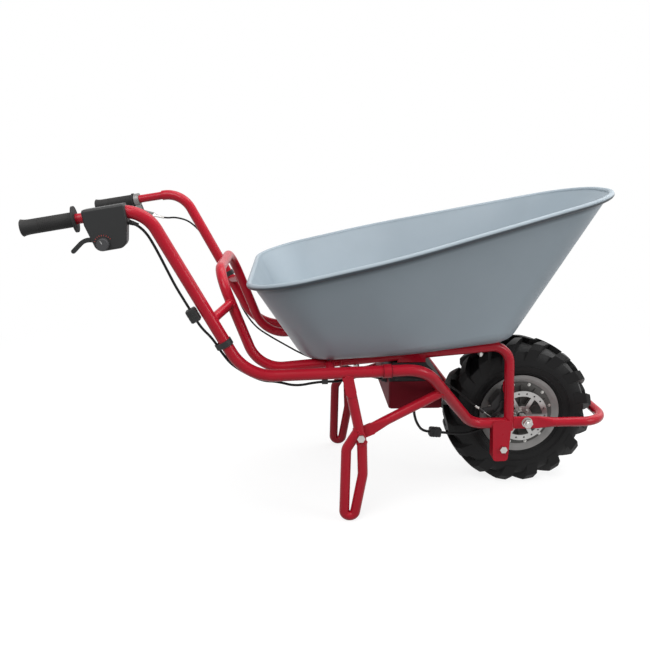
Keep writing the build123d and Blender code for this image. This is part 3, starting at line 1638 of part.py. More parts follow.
# Brake cable from the adjuster, down the left tube and across under the tray to the caliper
stop_mouth = stop_axis.origin + caliper_out * (stop_end - stop_start + weld_gap)
brake_route = [
    adjuster_end + adjuster_along * weld_gap,
    adjuster_end + adjuster_along * cable_lead,
    Vector(-474, 285, 701),
    Vector(-436, 287, 684),
    to_left(beside_slope(636, 16, 19)),
    to_left(beside_slope(588, 12, 17)),
    to_left(beside_slope(560, 11, 16)),
    to_left(beside_slope(512, 11, 16)),
    to_left(beside_slope(472, 13, 15)),
    to_left(beside_slope(434, 19, 12)),
    Vector(-248, 256, 366),
    Vector(-205, 226, 343),
    Vector(-158, 175, 333),
    Vector(-113, 112, 328),
    Vector(-72, 48, 332),
    Vector(-28, -14, 338),
    Vector(18, -74, 346),
    Vector(62, -132, 354),
    Vector(112, -172, 354),
    Vector(172, -178, 348),
    Vector(228, -162, 337),
    Vector(270, -126, 306),
    Vector(308, -96, 270),
    stop_mouth + caliper_out * 24,
    stop_mouth,
]
brake_cord = cable(brake_route, brake_cable_diameter, "brake cable")

with BuildPart() as brake_cable:
    add(brake_cord)
brake_cable.part.label = "brake_cable"
export_step(brake_cable.part, "parts/brake_cable.step")

# Motor lead from the battery box to the axle, with its connector
plug_centre = Vector(238, -84, 167)
plug_along = Vector(1, 0.05, -0.12).normalized()
plug_end = plug_along * (connector_length / 2 + weld_gap)
plug_run = plug_along * (connector_length / 2 + cable_lead)
upper_lead_route = [
    Vector(176, -104, battery_bottom_z - weld_gap),
    Vector(176, -104, battery_bottom_z - cable_lead),
    Vector(180, -99, 217),
    Vector(188, -93, 195),
    plug_centre - plug_run,
    plug_centre - plug_end,
]
lower_lead_route = [
    plug_centre + plug_end,
    plug_centre + plug_run,
    Vector(306, -79, 157),
    Vector(340, -79, 162),
    Vector(376, -81, 178),
    Vector(408, -83, 192),
    Vector(438, -84, 198),
    Vector(axle_x - axle_radius - weld_gap, -84, axle_z),
]
upper_lead = cable(upper_lead_route, motor_lead_diameter, "upper motor lead")
lower_lead = cable(lower_lead_route, motor_lead_diameter, "lower motor lead")
lead_block = connector(plug_centre, plug_along)

with BuildPart() as motor_lead:
    add(upper_lead)
    add(lower_lead)
motor_lead.part.label = "motor_lead"
export_step(motor_lead.part, "parts/motor_lead.step")

with BuildPart() as motor_connector:
    add(lead_block)
motor_connector.part.label = "motor_connector"
export_step(motor_connector.part, "parts/motor_connector.step")

# Straps on the slopes, and a clip under the right lower rail
slope_tie = tie_band(on_slope(467), slope_along, beside_slope(467, 19), harness_diameter)
brake_tie = tie_band(
    to_left(on_slope(536)),
    to_left(slope_along),
    to_left(beside_slope(536, 11, 16)),
    brake_cable_diameter,
)
clip_plane = Plane(origin=on_handle(clip_x, clip_z), x_dir=(0, 1, 0), z_dir=(1, 0, 0))
clip_bore = harness_diameter / 2 + 2 * tie_gap

with BuildPart() as rail_clip:
    with BuildSketch(clip_plane):
        Circle(clip_bore + tie_thickness)
        with Locations((0, harness_diameter)):
            Rectangle(tie_width, harness_diameter)
        make_hull()
        Circle(clip_bore, mode=Mode.SUBTRACT)
    extrude(amount=tie_width / 2, both=True)
    add(handle_cutter, mode=Mode.SUBTRACT)

with BuildPart() as cable_ties:
    add(slope_tie)
    add(brake_tie)
    add(rail_clip.part)
cable_ties.part.label = "cable_ties"
export_step(cable_ties.part, "parts/cable_ties.step")
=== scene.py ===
import bpy
import bmesh
import json
import math
from mathutils import Matrix, Vector


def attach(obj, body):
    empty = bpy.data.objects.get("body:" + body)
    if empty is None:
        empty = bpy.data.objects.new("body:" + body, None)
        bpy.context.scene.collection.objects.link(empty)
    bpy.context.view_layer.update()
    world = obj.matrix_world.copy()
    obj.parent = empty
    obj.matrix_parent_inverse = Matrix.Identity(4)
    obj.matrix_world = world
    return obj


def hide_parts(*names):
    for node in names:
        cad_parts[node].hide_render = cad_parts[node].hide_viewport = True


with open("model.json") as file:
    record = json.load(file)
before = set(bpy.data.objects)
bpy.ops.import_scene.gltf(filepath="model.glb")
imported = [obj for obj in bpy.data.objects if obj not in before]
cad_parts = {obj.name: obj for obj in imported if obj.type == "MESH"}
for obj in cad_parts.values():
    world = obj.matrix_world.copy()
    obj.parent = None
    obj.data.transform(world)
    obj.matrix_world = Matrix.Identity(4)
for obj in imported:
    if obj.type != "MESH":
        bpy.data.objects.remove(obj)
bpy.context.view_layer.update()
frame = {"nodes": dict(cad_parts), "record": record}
nodes = frame["nodes"]
scene = bpy.context.scene
print("frame loaded:", len(nodes), "nodes")

# camera at the photograph's viewing angle
cameraSet = {"place": (-0.131, -1.812, 0.898), "turn": (75.87, 0.0, -2.56), "lens": 39.0, "sensor": 36.0}

camera = bpy.data.objects.new("camera", bpy.data.cameras.new("camera"))
camera.location = cameraSet["place"]
camera.rotation_euler = [math.radians(angle) for angle in cameraSet["turn"]]
camera.data.lens = cameraSet["lens"]
camera.data.sensor_width = cameraSet["sensor"]
scene.collection.objects.link(camera)
scene.camera = camera
scene.view_settings.view_transform = "Standard"


# a node with its properties and inputs; an input given a socket is linked to it
def put(tree, kind, inputs=None, **props):
    node = tree.nodes.new(kind)
    for key, value in props.items():
        setattr(node, key, value)
    for key, value in (inputs or {}).items():
        if isinstance(value, bpy.types.NodeSocket):
            tree.links.new(value, node.inputs[key])
        else:
            node.inputs[key].default_value = value
    return node


def mixColours(tree, share, first, second):
    return put(tree, "ShaderNodeMix", {0: share, 6: first, 7: second}, data_type="RGBA").outputs[2]


def calc(tree, kind, first, second):
    return put(tree, "ShaderNodeMath", {0: first, 1: second}, operation=kind).outputs[0]


def times(tree, first, second):
    return calc(tree, "MULTIPLY", first, second)


# a value's range from low to high laid over another range
def spread(tree, value, low, high, toLow, toHigh):
    ends = {0: value, 1: low, 2: high, 3: toLow, 4: toHigh}
    return put(tree, "ShaderNodeMapRange", ends).outputs[0]


def objectPlace(tree):
    return put(tree, "ShaderNodeTexCoord").outputs["Object"]


def noise(tree, where, scale, detail, roughness):
    ins = {"Vector": where, "Scale": scale, "Detail": detail, "Roughness": roughness}
    return put(tree, "ShaderNodeTexNoise", ins).outputs["Fac"]


def effectGroup(name, ins, outs):
    tree = bpy.data.node_groups.new(name, "ShaderNodeTree")
    for label, kind, value in ins:
        socket = tree.interface.new_socket(label, in_out="INPUT", socket_type=kind)
        socket.default_value = value
    for label, kind in outs:
        tree.interface.new_socket(label, in_out="OUTPUT", socket_type=kind)
    return tree, tree.nodes.new("NodeGroupInput"), tree.nodes.new("NodeGroupOutput")


number = "NodeSocketFloat"
colour = "NodeSocketColor"

# slow drift of a colour over the surface, from handling and uneven coats
driftSet = {"detail": 5.0, "roughness": 0.62, "band": (0.34, 0.68)}


def makeToneDrift():
    ins = [("Base", colour, (1, 1, 1, 1)), ("Shade", colour, (0, 0, 0, 1)), ("Scale", number, 6.0),
           ("Amount", number, 0.5)]
    tree, start, end = effectGroup("toneDrift", ins, [("Color", colour), ("Mask", number)])
    scale = start.outputs["Scale"]
    cloud = noise(tree, objectPlace(tree), scale, driftSet["detail"], driftSet["roughness"])
    mask = spread(tree, cloud, *driftSet["band"], 0.0, 1.0)
    share = times(tree, mask, start.outputs["Amount"])
    mixed = mixColours(tree, share, start.outputs["Base"], start.outputs["Shade"])
    tree.links.new(mixed, end.inputs["Color"])
    tree.links.new(mask, end.inputs["Mask"])
    return tree


# fine surface grain: orange peel in paint, moulded texture in plastic and rubber
grainSet = {"fineDetail": 3.0, "slowDetail": 2.0, "slowScale": 0.12, "roughness": 0.5}


def makeFineGrain():
    ins = [("Scale", number, 300.0), ("Coarse", number, 0.3)]
    tree, start, end = effectGroup("fineGrain", ins, [("Height", number)])
    where = objectPlace(tree)
    scale = start.outputs["Scale"]
    fine = noise(tree, where, scale, grainSet["fineDetail"], grainSet["roughness"])
    slowScale = times(tree, scale, grainSet["slowScale"])
    slow = noise(tree, where, slowScale, grainSet["slowDetail"], grainSet["roughness"])
    part = times(tree, slow, start.outputs["Coarse"])
    tree.links.new(calc(tree, "ADD", fine, part), end.inputs["Height"])
    return tree


# dust in patches, most of it on faces that look up
dustSet = {"tilt": (0.1, 1.0), "least": 0.15, "detail": 6.0, "roughness": 0.7, "patch": (0.42, 0.72)}


def makeDustFall():
    ins = [("Scale", number, 9.0), ("Amount", number, 0.3)]
    tree, start, end = effectGroup("dustFall", ins, [("Mask", number)])
    facing = put(tree, "ShaderNodeNewGeometry").outputs["Normal"]
    up = put(tree, "ShaderNodeSeparateXYZ", {0: facing}).outputs["Z"]
    upward = spread(tree, up, *dustSet["tilt"], dustSet["least"], 1.0)
    scale = start.outputs["Scale"]
    patch = noise(tree, objectPlace(tree), scale, dustSet["detail"], dustSet["roughness"])
    patchy = spread(tree, patch, *dustSet["patch"], 0.0, 1.0)
    lying = times(tree, upward, patchy)
    tree.links.new(times(tree, lying, start.outputs["Amount"]), end.inputs["Mask"])
    return tree


# short scuffs and scratches
scuffSet = {"stretch": (1.0, 1.0, 0.16), "detail": 4.0, "roughness": 0.75, "level": 0.78, "edge": 0.05}


def makeScuffs():
    ins = [("Scale", number, 40.0), ("Cover", number, 0.1)]
    tree, start, end = effectGroup("scuffs", ins, [("Mask", number)])
    stretched = put(tree, "ShaderNodeMapping", {"Vector": objectPlace(tree), "Scale": scuffSet["stretch"]})
    scale = start.outputs["Scale"]
    streak = noise(tree, stretched.outputs[0], scale, scuffSet["detail"], scuffSet["roughness"])
    level = calc(tree, "SUBTRACT", scuffSet["level"], start.outputs["Cover"])
    over = calc(tree, "SUBTRACT", streak, level)
    tree.links.new(spread(tree, over, 0.0, scuffSet["edge"], 0.0, 1.0), end.inputs["Mask"])
    return tree


# painted shade outside and under a rolled rim that lies in a plane sloping up along x, standing in for the
# shadow under the bead
rimShadeBands = {"upper": (-0.22, 0.02), "lower": (0.55, 1.4), "tilt": (0.0, 0.5), "outward": (0.0, 0.05)}


def makeRimPaintedShade():
    ins = [("Slope", number, 0.2), ("Height", number, 0.6), ("Depth", number, 0.01), ("Middle", number, 0.1),
           ("Amount", number, 0.5)]
    tree, start, end = effectGroup("rimPaintedShade", ins, [("Mask", number)])
    place = put(tree, "ShaderNodeSeparateXYZ", {0: objectPlace(tree)})
    rise = times(tree, place.outputs["X"], start.outputs["Slope"])
    rimHeight = calc(tree, "ADD", rise, start.outputs["Height"])
    below = calc(tree, "SUBTRACT", rimHeight, place.outputs["Z"])
    share = calc(tree, "DIVIDE", below, start.outputs["Depth"])
    growing = spread(tree, share, *rimShadeBands["upper"], 0.0, 1.0)
    fading = spread(tree, share, *rimShadeBands["lower"], 1.0, 0.0)
    near = times(tree, growing, fading)
    trueNormal = put(tree, "ShaderNodeNewGeometry").outputs["True Normal"]
    facing = put(tree, "ShaderNodeSeparateXYZ", {0: trueNormal})
    alongX = calc(tree, "SUBTRACT", place.outputs["X"], start.outputs["Middle"])
    outX = times(tree, facing.outputs["X"], alongX)
    outward = calc(tree, "ADD", outX, times(tree, facing.outputs["Y"], place.outputs["Y"]))
    under = times(tree, near, spread(tree, facing.outputs["Z"], *rimShadeBands["tilt"], 1.0, 0.0))
    outside = times(tree, under, spread(tree, outward, *rimShadeBands["outward"], 0.0, 1.0))
    tree.links.new(times(tree, outside, start.outputs["Amount"]), end.inputs["Mask"])
    return tree


toneDrift = makeToneDrift()
fineGrain = makeFineGrain()
dustFall = makeDustFall()
scuffs = makeScuffs()
rimPaintedShade = makeRimPaintedShade()
print("effect groups made")


# one finish: colour drift, dust, scuffs, roughness that follows them, grain as bump, and painted shade under
# a rolled rim where given
finishBase = {
    "drift": 0.5, "driftScale": 7.0, "rough": (0.35, 0.5), "metal": 0.0, "coat": 0.0, "coatRough": 0.1,
    "specular": 0.5, "grain": 300.0, "coarse": 0.3, "bump": 0.05, "depth": 0.0004,
    "dust": 0.1, "dustColour": (0.42, 0.38, 0.33), "dustRough": 0.5,
    "scuff": 0.04, "scuffColour": None, "scuffGain": 1.5, "scuffLift": 0.03, "scuffScale": 40.0,
    "scuffShare": 0.5, "scuffRough": 0.12, "rim": None,
}
# painted shade under the tray's rolled rim: its plane, depth, middle and strength, and its dark colour
trayRimShade = {"Slope": math.tan(math.radians(12.5)), "Height": 0.644, "Depth": 0.014, "Middle": 0.15,
           "Amount": 0.95}
paintedShadeColour = (0.045, 0.055, 0.066, 1.0)


def makeFinish(name, own):
    kit = {**finishBase, **own}
    material = bpy.data.materials.new(name)
    material.use_nodes = True
    tree = material.node_tree
    shader = tree.nodes["Principled BSDF"]
    driftIns = {"Base": (*kit["base"], 1.0), "Shade": (*kit["shade"], 1.0), "Scale": kit["driftScale"],
                "Amount": kit["drift"]}
    drift = put(tree, "ShaderNodeGroup", driftIns, node_tree=toneDrift)
    dust = put(tree, "ShaderNodeGroup", {"Amount": kit["dust"]}, node_tree=dustFall)
    worn = put(tree, "ShaderNodeGroup", {"Cover": kit["scuff"], "Scale": kit["scuffScale"]}, node_tree=scuffs)
    paler = [min(1.0, part * kit["scuffGain"] + kit["scuffLift"]) for part in kit["base"]]
    scuffShare = times(tree, worn.outputs["Mask"], kit["scuffShare"])
    scuffed = mixColours(tree, scuffShare, drift.outputs["Color"], (*(kit["scuffColour"] or paler), 1.0))
    coloured = mixColours(tree, dust.outputs["Mask"], scuffed, (*kit["dustColour"], 1.0))
    # painted shade outside and under a rolled rim, where the finish gives one
    if kit["rim"]:
        rimShade = put(tree, "ShaderNodeGroup", kit["rim"], node_tree=rimPaintedShade)
        coloured = mixColours(tree, rimShade.outputs["Mask"], coloured, paintedShadeColour)
    tree.links.new(coloured, shader.inputs["Base Color"])
    rough = spread(tree, drift.outputs["Mask"], 0.0, 1.0, *kit["rough"])
    rougher = calc(tree, "ADD", rough, times(tree, worn.outputs["Mask"], kit["scuffRough"]))
    dull = calc(tree, "ADD", rougher, times(tree, dust.outputs["Mask"], kit["dustRough"]))
    tree.links.new(put(tree, "ShaderNodeClamp", {0: dull}).outputs[0], shader.inputs["Roughness"])
    grainIns = {"Scale": kit["grain"], "Coarse": kit["coarse"]}
    grain = put(tree, "ShaderNodeGroup", grainIns, node_tree=fineGrain)
    bumpIns = {"Strength": kit["bump"], "Distance": kit["depth"], "Height": grain.outputs["Height"]}
    tree.links.new(put(tree, "ShaderNodeBump", bumpIns).outputs[0], shader.inputs["Normal"])
    shader.inputs["Metallic"].default_value = kit["metal"]
    shader.inputs["Coat Weight"].default_value = kit["coat"]
    shader.inputs["Coat Roughness"].default_value = kit["coatRough"]
    shader.inputs["Specular IOR Level"].default_value = kit["specular"]
    return material


finishSets = {
    "redPaint": dict(
        base=(0.50, 0.006, 0.024), shade=(0.41, 0.004, 0.017), drift=0.6, specular=0.2, rough=(0.26, 0.36),
        coat=0.08, coatRough=0.12, grain=420.0, bump=0.03, dust=0.03, scuff=0.03,
        scuffColour=(0.58, 0.05, 0.06)),
    "collarPaint": dict(
        base=(0.46, 0.006, 0.022), shade=(0.36, 0.004, 0.016), specular=0.2, rough=(0.3, 0.42), coat=0.08,
        grain=420.0, bump=0.03, dust=0.04),
    # darker copy of the red paint: painted shade for the battery box under the tray
    "shadedRedPaint": dict(
        base=(0.17, 0.007, 0.016), shade=(0.12, 0.005, 0.011), specular=0.15, rough=(0.5, 0.62), grain=420.0,
        bump=0.03, dust=0.03, scuffColour=(0.15, 0.02, 0.02)),
    # the tray paint carries the painted shade under its rolled rim
    "trayPaint": dict(
        base=(0.36, 0.425, 0.475), shade=(0.31, 0.37, 0.415), drift=0.5, specular=0.25, driftScale=3.2,
        rough=(0.36, 0.5), coat=0.05, coatRough=0.25, grain=260.0, coarse=0.7, bump=0.05, dust=0.05,
        scuff=0.035, scuffColour=(0.47, 0.52, 0.56), scuffScale=26.0, rim=trayRimShade),
    "blackPaint": dict(
        base=(0.018, 0.018, 0.019), shade=(0.028, 0.028, 0.03), specular=0.25, rough=(0.36, 0.5), coat=0.05,
        grain=420.0, bump=0.03, dust=0.08, scuff=0.05, scuffColour=(0.08, 0.08, 0.08)),
    "zincPlate": dict(
        base=(0.52, 0.515, 0.50), shade=(0.38, 0.37, 0.34), metal=1.0, rough=(0.28, 0.46), grain=500.0,
        bump=0.08, driftScale=60.0, dust=0.1, scuff=0.06),
    "castAlloy": dict(
        base=(0.25, 0.245, 0.24), shade=(0.17, 0.167, 0.162), metal=0.55, rough=(0.36, 0.54), grain=240.0,
        coarse=0.9, bump=0.3, depth=0.0006, driftScale=22.0, dust=0.18, scuff=0.06),
    # darker copy of the cast alloy: painted shade for the hollow hub inside the rim
    "hubAlloyShaded": dict(
        base=(0.085, 0.083, 0.08), shade=(0.055, 0.053, 0.05), metal=0.5, specular=0.3, rough=(0.36, 0.54),
        grain=240.0, coarse=0.9, bump=0.3, depth=0.0006, driftScale=22.0, dust=0.08, scuff=0.06),
    "discSteel": dict(
        base=(0.42, 0.415, 0.41), shade=(0.30, 0.295, 0.285), metal=1.0, rough=(0.26, 0.4), grain=700.0,
        bump=0.08, driftScale=30.0, dust=0.12, scuff=0.08),
    "blackPlastic": dict(
        base=(0.019, 0.0195, 0.02), shade=(0.026, 0.0265, 0.027), specular=0.3, rough=(0.42, 0.55),
        grain=900.0, bump=0.1, depth=0.0003, dust=0.03, scuff=0.04, scuffColour=(0.05, 0.05, 0.05)),
    "greyPlastic": dict(
        base=(0.07, 0.07, 0.074), shade=(0.05, 0.05, 0.053), rough=(0.35, 0.5), specular=0.3, grain=900.0,
        bump=0.15, dust=0.06, scuff=0.05),
    "gripRubber": dict(
        base=(0.016, 0.016, 0.0165), shade=(0.024, 0.024, 0.024), rough=(0.6, 0.75), specular=0.3,
        grain=700.0, bump=0.18, depth=0.0004, dust=0.07, scuff=0.03, scuffColour=(0.05, 0.05, 0.05)),
    "tyreRubber": dict(
        base=(0.006, 0.006, 0.0065), shade=(0.01, 0.0098, 0.0095), rough=(0.42, 0.6), grain=380.0,
        coarse=0.8, bump=0.16, depth=0.0007, driftScale=14.0, specular=0.18, dust=0.06,
        dustColour=(0.06, 0.057, 0.052), scuff=0.05, scuffColour=(0.035, 0.035, 0.035)),
    "cableSheath": dict(
        base=(0.008, 0.008, 0.0085), shade=(0.013, 0.013, 0.013), specular=0.15, rough=(0.42, 0.58),
        grain=900.0, bump=0.15, dust=0.02, scuff=0.03, scuffColour=(0.025, 0.025, 0.025)),
    "cellWrap": dict(
        base=(0.03, 0.09, 0.26), shade=(0.02, 0.06, 0.18), rough=(0.2, 0.32), grain=200.0, bump=0.2,
        dust=0.05),
    "padCompound": dict(
        base=(0.10, 0.095, 0.09), shade=(0.05, 0.045, 0.04), rough=(0.75, 0.9), grain=600.0, bump=0.5,
        driftScale=90.0, dust=0.1),
    "lamination": dict(
        base=(0.26, 0.26, 0.27), shade=(0.16, 0.15, 0.14), metal=1.0, rough=(0.35, 0.5), grain=600.0,
        bump=0.2, dust=0.05),
    "copperWire": dict(
        base=(0.55, 0.24, 0.10), shade=(0.38, 0.14, 0.05), metal=1.0, rough=(0.25, 0.4), grain=800.0,
        bump=0.4, dust=0.03),
    "magnetPlate": dict(
        base=(0.36, 0.36, 0.37), shade=(0.26, 0.26, 0.26), metal=1.0, rough=(0.3, 0.42), grain=500.0,
        bump=0.1, dust=0.03),
    "lidPaint": dict(
        base=(0.016, 0.015, 0.016), shade=(0.024, 0.022, 0.022), rough=(0.62, 0.75), specular=0.25,
        grain=420.0, bump=0.15, dust=0.05, scuffColour=(0.05, 0.05, 0.05)),
    "palePlastic": dict(
        base=(0.55, 0.55, 0.54), shade=(0.44, 0.44, 0.43), rough=(0.4, 0.55), grain=900.0, bump=0.12,
        dust=0.06),
    "tickPaint": dict(
        base=(0.50, 0.06, 0.05), shade=(0.36, 0.04, 0.035), rough=(0.5, 0.6), grain=900.0, bump=0.1,
        dust=0.05),
}
finishes = {name: makeFinish(name, own) for name, own in finishSets.items()}

slotFinish = {
    "red_paint": "redPaint", "box_paint": "shadedRedPaint", "grey_paint": "trayPaint", "black_paint": "blackPaint",
    "collar_paint": "collarPaint", "zinc_steel": "zincPlate", "cast_aluminium": "castAlloy",
    "disc_steel": "discSteel", "black_plastic": "blackPlastic", "grey_plastic": "greyPlastic",
    "grip_rubber": "gripRubber", "tyre_rubber": "tyreRubber", "cable_sheath": "cableSheath",
    "cell_wrap": "cellWrap", "pad_compound": "padCompound", "lamination": "lamination",
    "copper": "copperWire", "magnet": "magnetPlate",
}

# nodes that have a finish of their own in place of their slot's; the hub shell and covers take a darker copy
# of the cast alloy, painted shade for the hollow hub inside the rim
nodeFinish = {"battery_lid": "lidPaint", "hub_shell": "hubAlloyShaded", "hub_cover_right": "hubAlloyShaded",
              "hub_cover_left": "hubAlloyShaded"}

for entry in frame["record"]["subparts"]:
    mesh = nodes[entry["node"]].data
    mesh.materials.clear()
    mesh.materials.append(finishes[nodeFinish.get(entry["node"], slotFinish[entry["material_slot"]])])
print("finishes made:", len(finishes))


# cables: each route follows the solid that the cable stands for, with a few points moved
cableSets = {
    "upperHarness": {
        "node": "harness_cable", "diameter": 0.006, "length": 0.234, "carries": "harness_connector",
        "route": [(-0.4837, -0.2761, 0.7437), (-0.4690, -0.2748, 0.7390), (-0.4480, -0.2730, 0.7200),
                  (-0.4300, -0.2714, 0.6850), (-0.4110, -0.2697, 0.6420), (-0.3930, -0.2682, 0.6010),
                  (-0.3732, -0.2664, 0.5642), (-0.3648, -0.2657, 0.5486)]},
    "lowerHarness": {
        "node": "harness_cable", "diameter": 0.006, "length": 0.591, "carries": None,
        "route": [(-0.3495, -0.2644, 0.5200), (-0.3411, -0.2636, 0.5043), (-0.3167, -0.2615, 0.4788),
                  (-0.2945, -0.2596, 0.4393), (-0.2726, -0.2476, 0.4065), (-0.2116, -0.2418, 0.3691),
                  (-0.1728, -0.2413, 0.3671), (-0.1300, -0.2452, 0.3560), (-0.0800, -0.2408, 0.3640),
                  (-0.0420, -0.2375, 0.3640), (-0.0240, -0.2200, 0.3580), (-0.0060, -0.1920, 0.3550),
                  (0.0220, -0.1600, 0.3490), (0.0520, -0.1280, 0.3400), (0.0752, -0.1040, 0.3280),
                  (0.0896, -0.0980, 0.3220), (0.1038, -0.0980, 0.3220)]},
    "brakeCable": {
        "node": "brake_cable", "diameter": 0.005, "length": 1.323, "carries": None,
        "route": [(-0.5200, 0.2793, 0.7028), (-0.5028, 0.2778, 0.6985), (-0.4740, 0.2850, 0.7010),
                  (-0.4300, 0.2870, 0.6870), (-0.3850, 0.2871, 0.6310), (-0.3621, 0.2825, 0.5823),
                  (-0.3464, 0.2802, 0.5548), (-0.3207, 0.2779, 0.5068), (-0.3012, 0.2752, 0.4659),
                  (-0.2864, 0.2709, 0.4250), (-0.2500, 0.2560, 0.3745), (-0.2050, 0.2260, 0.3520),
                  (-0.1580, 0.1750, 0.3385), (-0.1130, 0.1120, 0.3300), (-0.0720, 0.0480, 0.3320),
                  (-0.0280, -0.0140, 0.3380), (0.0180, -0.0740, 0.3460), (0.0620, -0.1320, 0.3540),
                  (0.1120, -0.1720, 0.3540), (0.1720, -0.1780, 0.3480), (0.2280, -0.1620, 0.3370),
                  (0.2700, -0.1260, 0.3060), (0.3080, -0.0960, 0.2700), (0.3317, -0.0876, 0.2472),
                  (0.3511, -0.0876, 0.2331)]},
    "upperLead": {
        "node": "motor_lead", "diameter": 0.007, "length": 0.111, "carries": "motor_connector",
        "route": [(0.1760, -0.1040, 0.2578), (0.1760, -0.1040, 0.2400), (0.1800, -0.0990, 0.2170),
                  (0.1880, -0.0930, 0.1950), (0.2043, -0.0857, 0.1710), (0.2219, -0.0848, 0.1689)]},
    "lowerLead": {
        "node": "motor_lead", "diameter": 0.007, "length": 0.218, "carries": None,
        "route": [(0.2541, -0.0832, 0.1651), (0.2717, -0.0823, 0.1630), (0.3060, -0.0790, 0.1570),
                  (0.3400, -0.0790, 0.1620), (0.3760, -0.0810, 0.1780), (0.4080, -0.0830, 0.1920),
                  (0.4380, -0.0840, 0.1980), (0.4648, -0.0840, 0.2000)]},
}
cableMesh = {"bevelSteps": 4, "lineSteps": 8, "order": 3}


def layCable(name, kit):
    curve = bpy.data.curves.new(name, "CURVE")
    curve.dimensions = "3D"
    curve.bevel_depth = kit["diameter"] / 2
    curve.bevel_resolution = cableMesh["bevelSteps"]
    curve.resolution_u = cableMesh["lineSteps"]
    curve.use_fill_caps = True
    line = curve.splines.new("NURBS")
    line.points.add(len(kit["route"]) - 1)
    for point, place in zip(line.points, kit["route"]):
        point.co = (*place, 1.0)
    line.order_u = cableMesh["order"]
    line.use_endpoint_u = True
    curve.materials.append(finishes["cableSheath"])
    piece = bpy.data.objects.new(name, curve)
    scene.collection.objects.link(piece)
    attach(piece, "frame")
    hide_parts(kit["node"])


for cableName, cableKit in cableSets.items():
    layCable(cableName, cableKit)
print("cables laid:", len(cableSets))


# a piece from a mesh, riding on its body
def addPiece(name, mesh, body, finish=None):
    piece = bpy.data.objects.new(name, mesh)
    scene.collection.objects.link(piece)
    if finish:
        mesh.materials.clear()
        mesh.materials.append(finishes[finish])
    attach(piece, body)


# geometry nodes: a tree with a geometry in, its named sizes, and a geometry out
def newTree(name, sizes):
    tree = bpy.data.node_groups.new(name, "GeometryNodeTree")
    tree.interface.new_socket("Geometry", in_out="INPUT", socket_type="NodeSocketGeometry")
    kinds = {int: "NodeSocketInt", float: "NodeSocketFloat", tuple: "NodeSocketVector"}
    for label, value in sizes.items():
        kind = kinds[type(value)]
        tree.interface.new_socket(label, in_out="INPUT", socket_type=kind).default_value = value
    tree.interface.new_socket("Geometry", in_out="OUTPUT", socket_type="NodeSocketGeometry")
    return tree, tree.nodes.new("NodeGroupInput"), tree.nodes.new("NodeGroupOutput")


def closeTree(tree, end, geometry, finish, smooth=True):
    real = put(tree, "GeometryNodeRealizeInstances", {0: geometry}).outputs[0]
    shaded = put(tree, "GeometryNodeSetShadeSmooth", {"Geometry": real, "Shade Smooth": smooth}).outputs[0]
    coated = put(tree, "GeometryNodeSetMaterial", {"Geometry": shaded, "Material": finishes[finish]})
    tree.links.new(coated.outputs[0], end.inputs[0])


def growMesh(name, tree, sizes, startMesh):
    holder = bpy.data.objects.new(name + "Start", startMesh)
    scene.collection.objects.link(holder)
    grown = holder.modifiers.new("grow", "NODES")
    grown.node_group = tree
    for item in tree.interface.items_tree:
        if item.in_out == "INPUT" and item.name in sizes:
            grown[item.identifier] = sizes[item.name]
    depsgraph = bpy.context.evaluated_depsgraph_get()
    mesh = bpy.data.meshes.new_from_object(holder.evaluated_get(depsgraph))
    mesh.name = name
    holder.modifiers.clear()
    bpy.data.objects.remove(holder)
    return mesh


# weld beads where one tube meets another: loops of points on the joint, dressed with overlapping beads
weldSet = {"bead": 0.0024, "spacing": 0.0026, "steps": 40, "roundness": 2, "uneven": (0.86, 1.14), "seed": 3}
handleSlope = ((-0.4520, -0.2733, 0.7730), (-0.2440, -0.2551, 0.3840), 0.014)
lowerRail = ((-0.2440, -0.2551, 0.3840), (0.0870, -0.2262, 0.3840), 0.014)
trayRail = ((-0.2190, -0.1710, 0.3760), (0.4170, -0.1050, 0.4105), 0.0125)
hoopLeg = ((-0.3090, -0.1650, 0.6150), (-0.2190, -0.1710, 0.3760), 0.0125)
forkLeg = ((0.4170, -0.1050, 0.4105), (0.4290, -0.1050, 0.1790), 0.0125)
railDrop = ((0.1810, -0.2180, 0.3840), (0.3280, -0.1050, 0.1980), 0.014)
standLeg = ((-0.0090, -0.2346, 0.3840), (0.0290, -0.2346, 0.2050), 0.0125)
weldJoints = [
    {"start": (-0.2808, -0.1669, 0.5400), "to": (-0.3173, -0.2616, 0.5210), "radius": 0.011,
     "main": handleSlope},
    {"start": (-0.3173, -0.2616, 0.5210), "to": (-0.2808, -0.1669, 0.5400), "radius": 0.011,
     "main": hoopLeg},
    {"start": (-0.0460, -0.1530, 0.3854), "to": (-0.0460, -0.2378, 0.3840), "radius": 0.011,
     "main": lowerRail},
    {"start": (-0.0460, -0.2378, 0.3840), "to": (-0.0460, -0.1530, 0.3854), "radius": 0.011,
     "main": trayRail},
    {"start": (0.3700, -0.1050, 0.1980), "to": (0.4280, -0.1050, 0.1980), "radius": 0.014,
     "main": forkLeg},
    {"start": (0.0290, -0.2346, 0.2050), "to": (-0.0090, -0.2346, 0.3840), "radius": 0.0125,
     "main": lowerRail},
    {"start": (-0.0090, -0.2346, 0.1900), "to": (0.0216, -0.2346, 0.2400), "radius": 0.0125,
     "main": standLeg},
    {"start": (0.0921, -0.2050, 0.2515), "to": (0.2370, -0.1750, 0.3131), "radius": 0.012,
     "main": railDrop},
]
weldRings = [
    {"place": (0.0290, -0.2346, 0.2049), "along": (0.2077, 0.0, -0.9782), "radius": 0.0118},
    {"place": (-0.0201, -0.1504, 0.3868), "along": (0.9932, 0.1031, 0.0539), "radius": 0.0118},
]


def acrossOf(along):
    side = along.orthogonal().normalized()
    return side, along.cross(side)


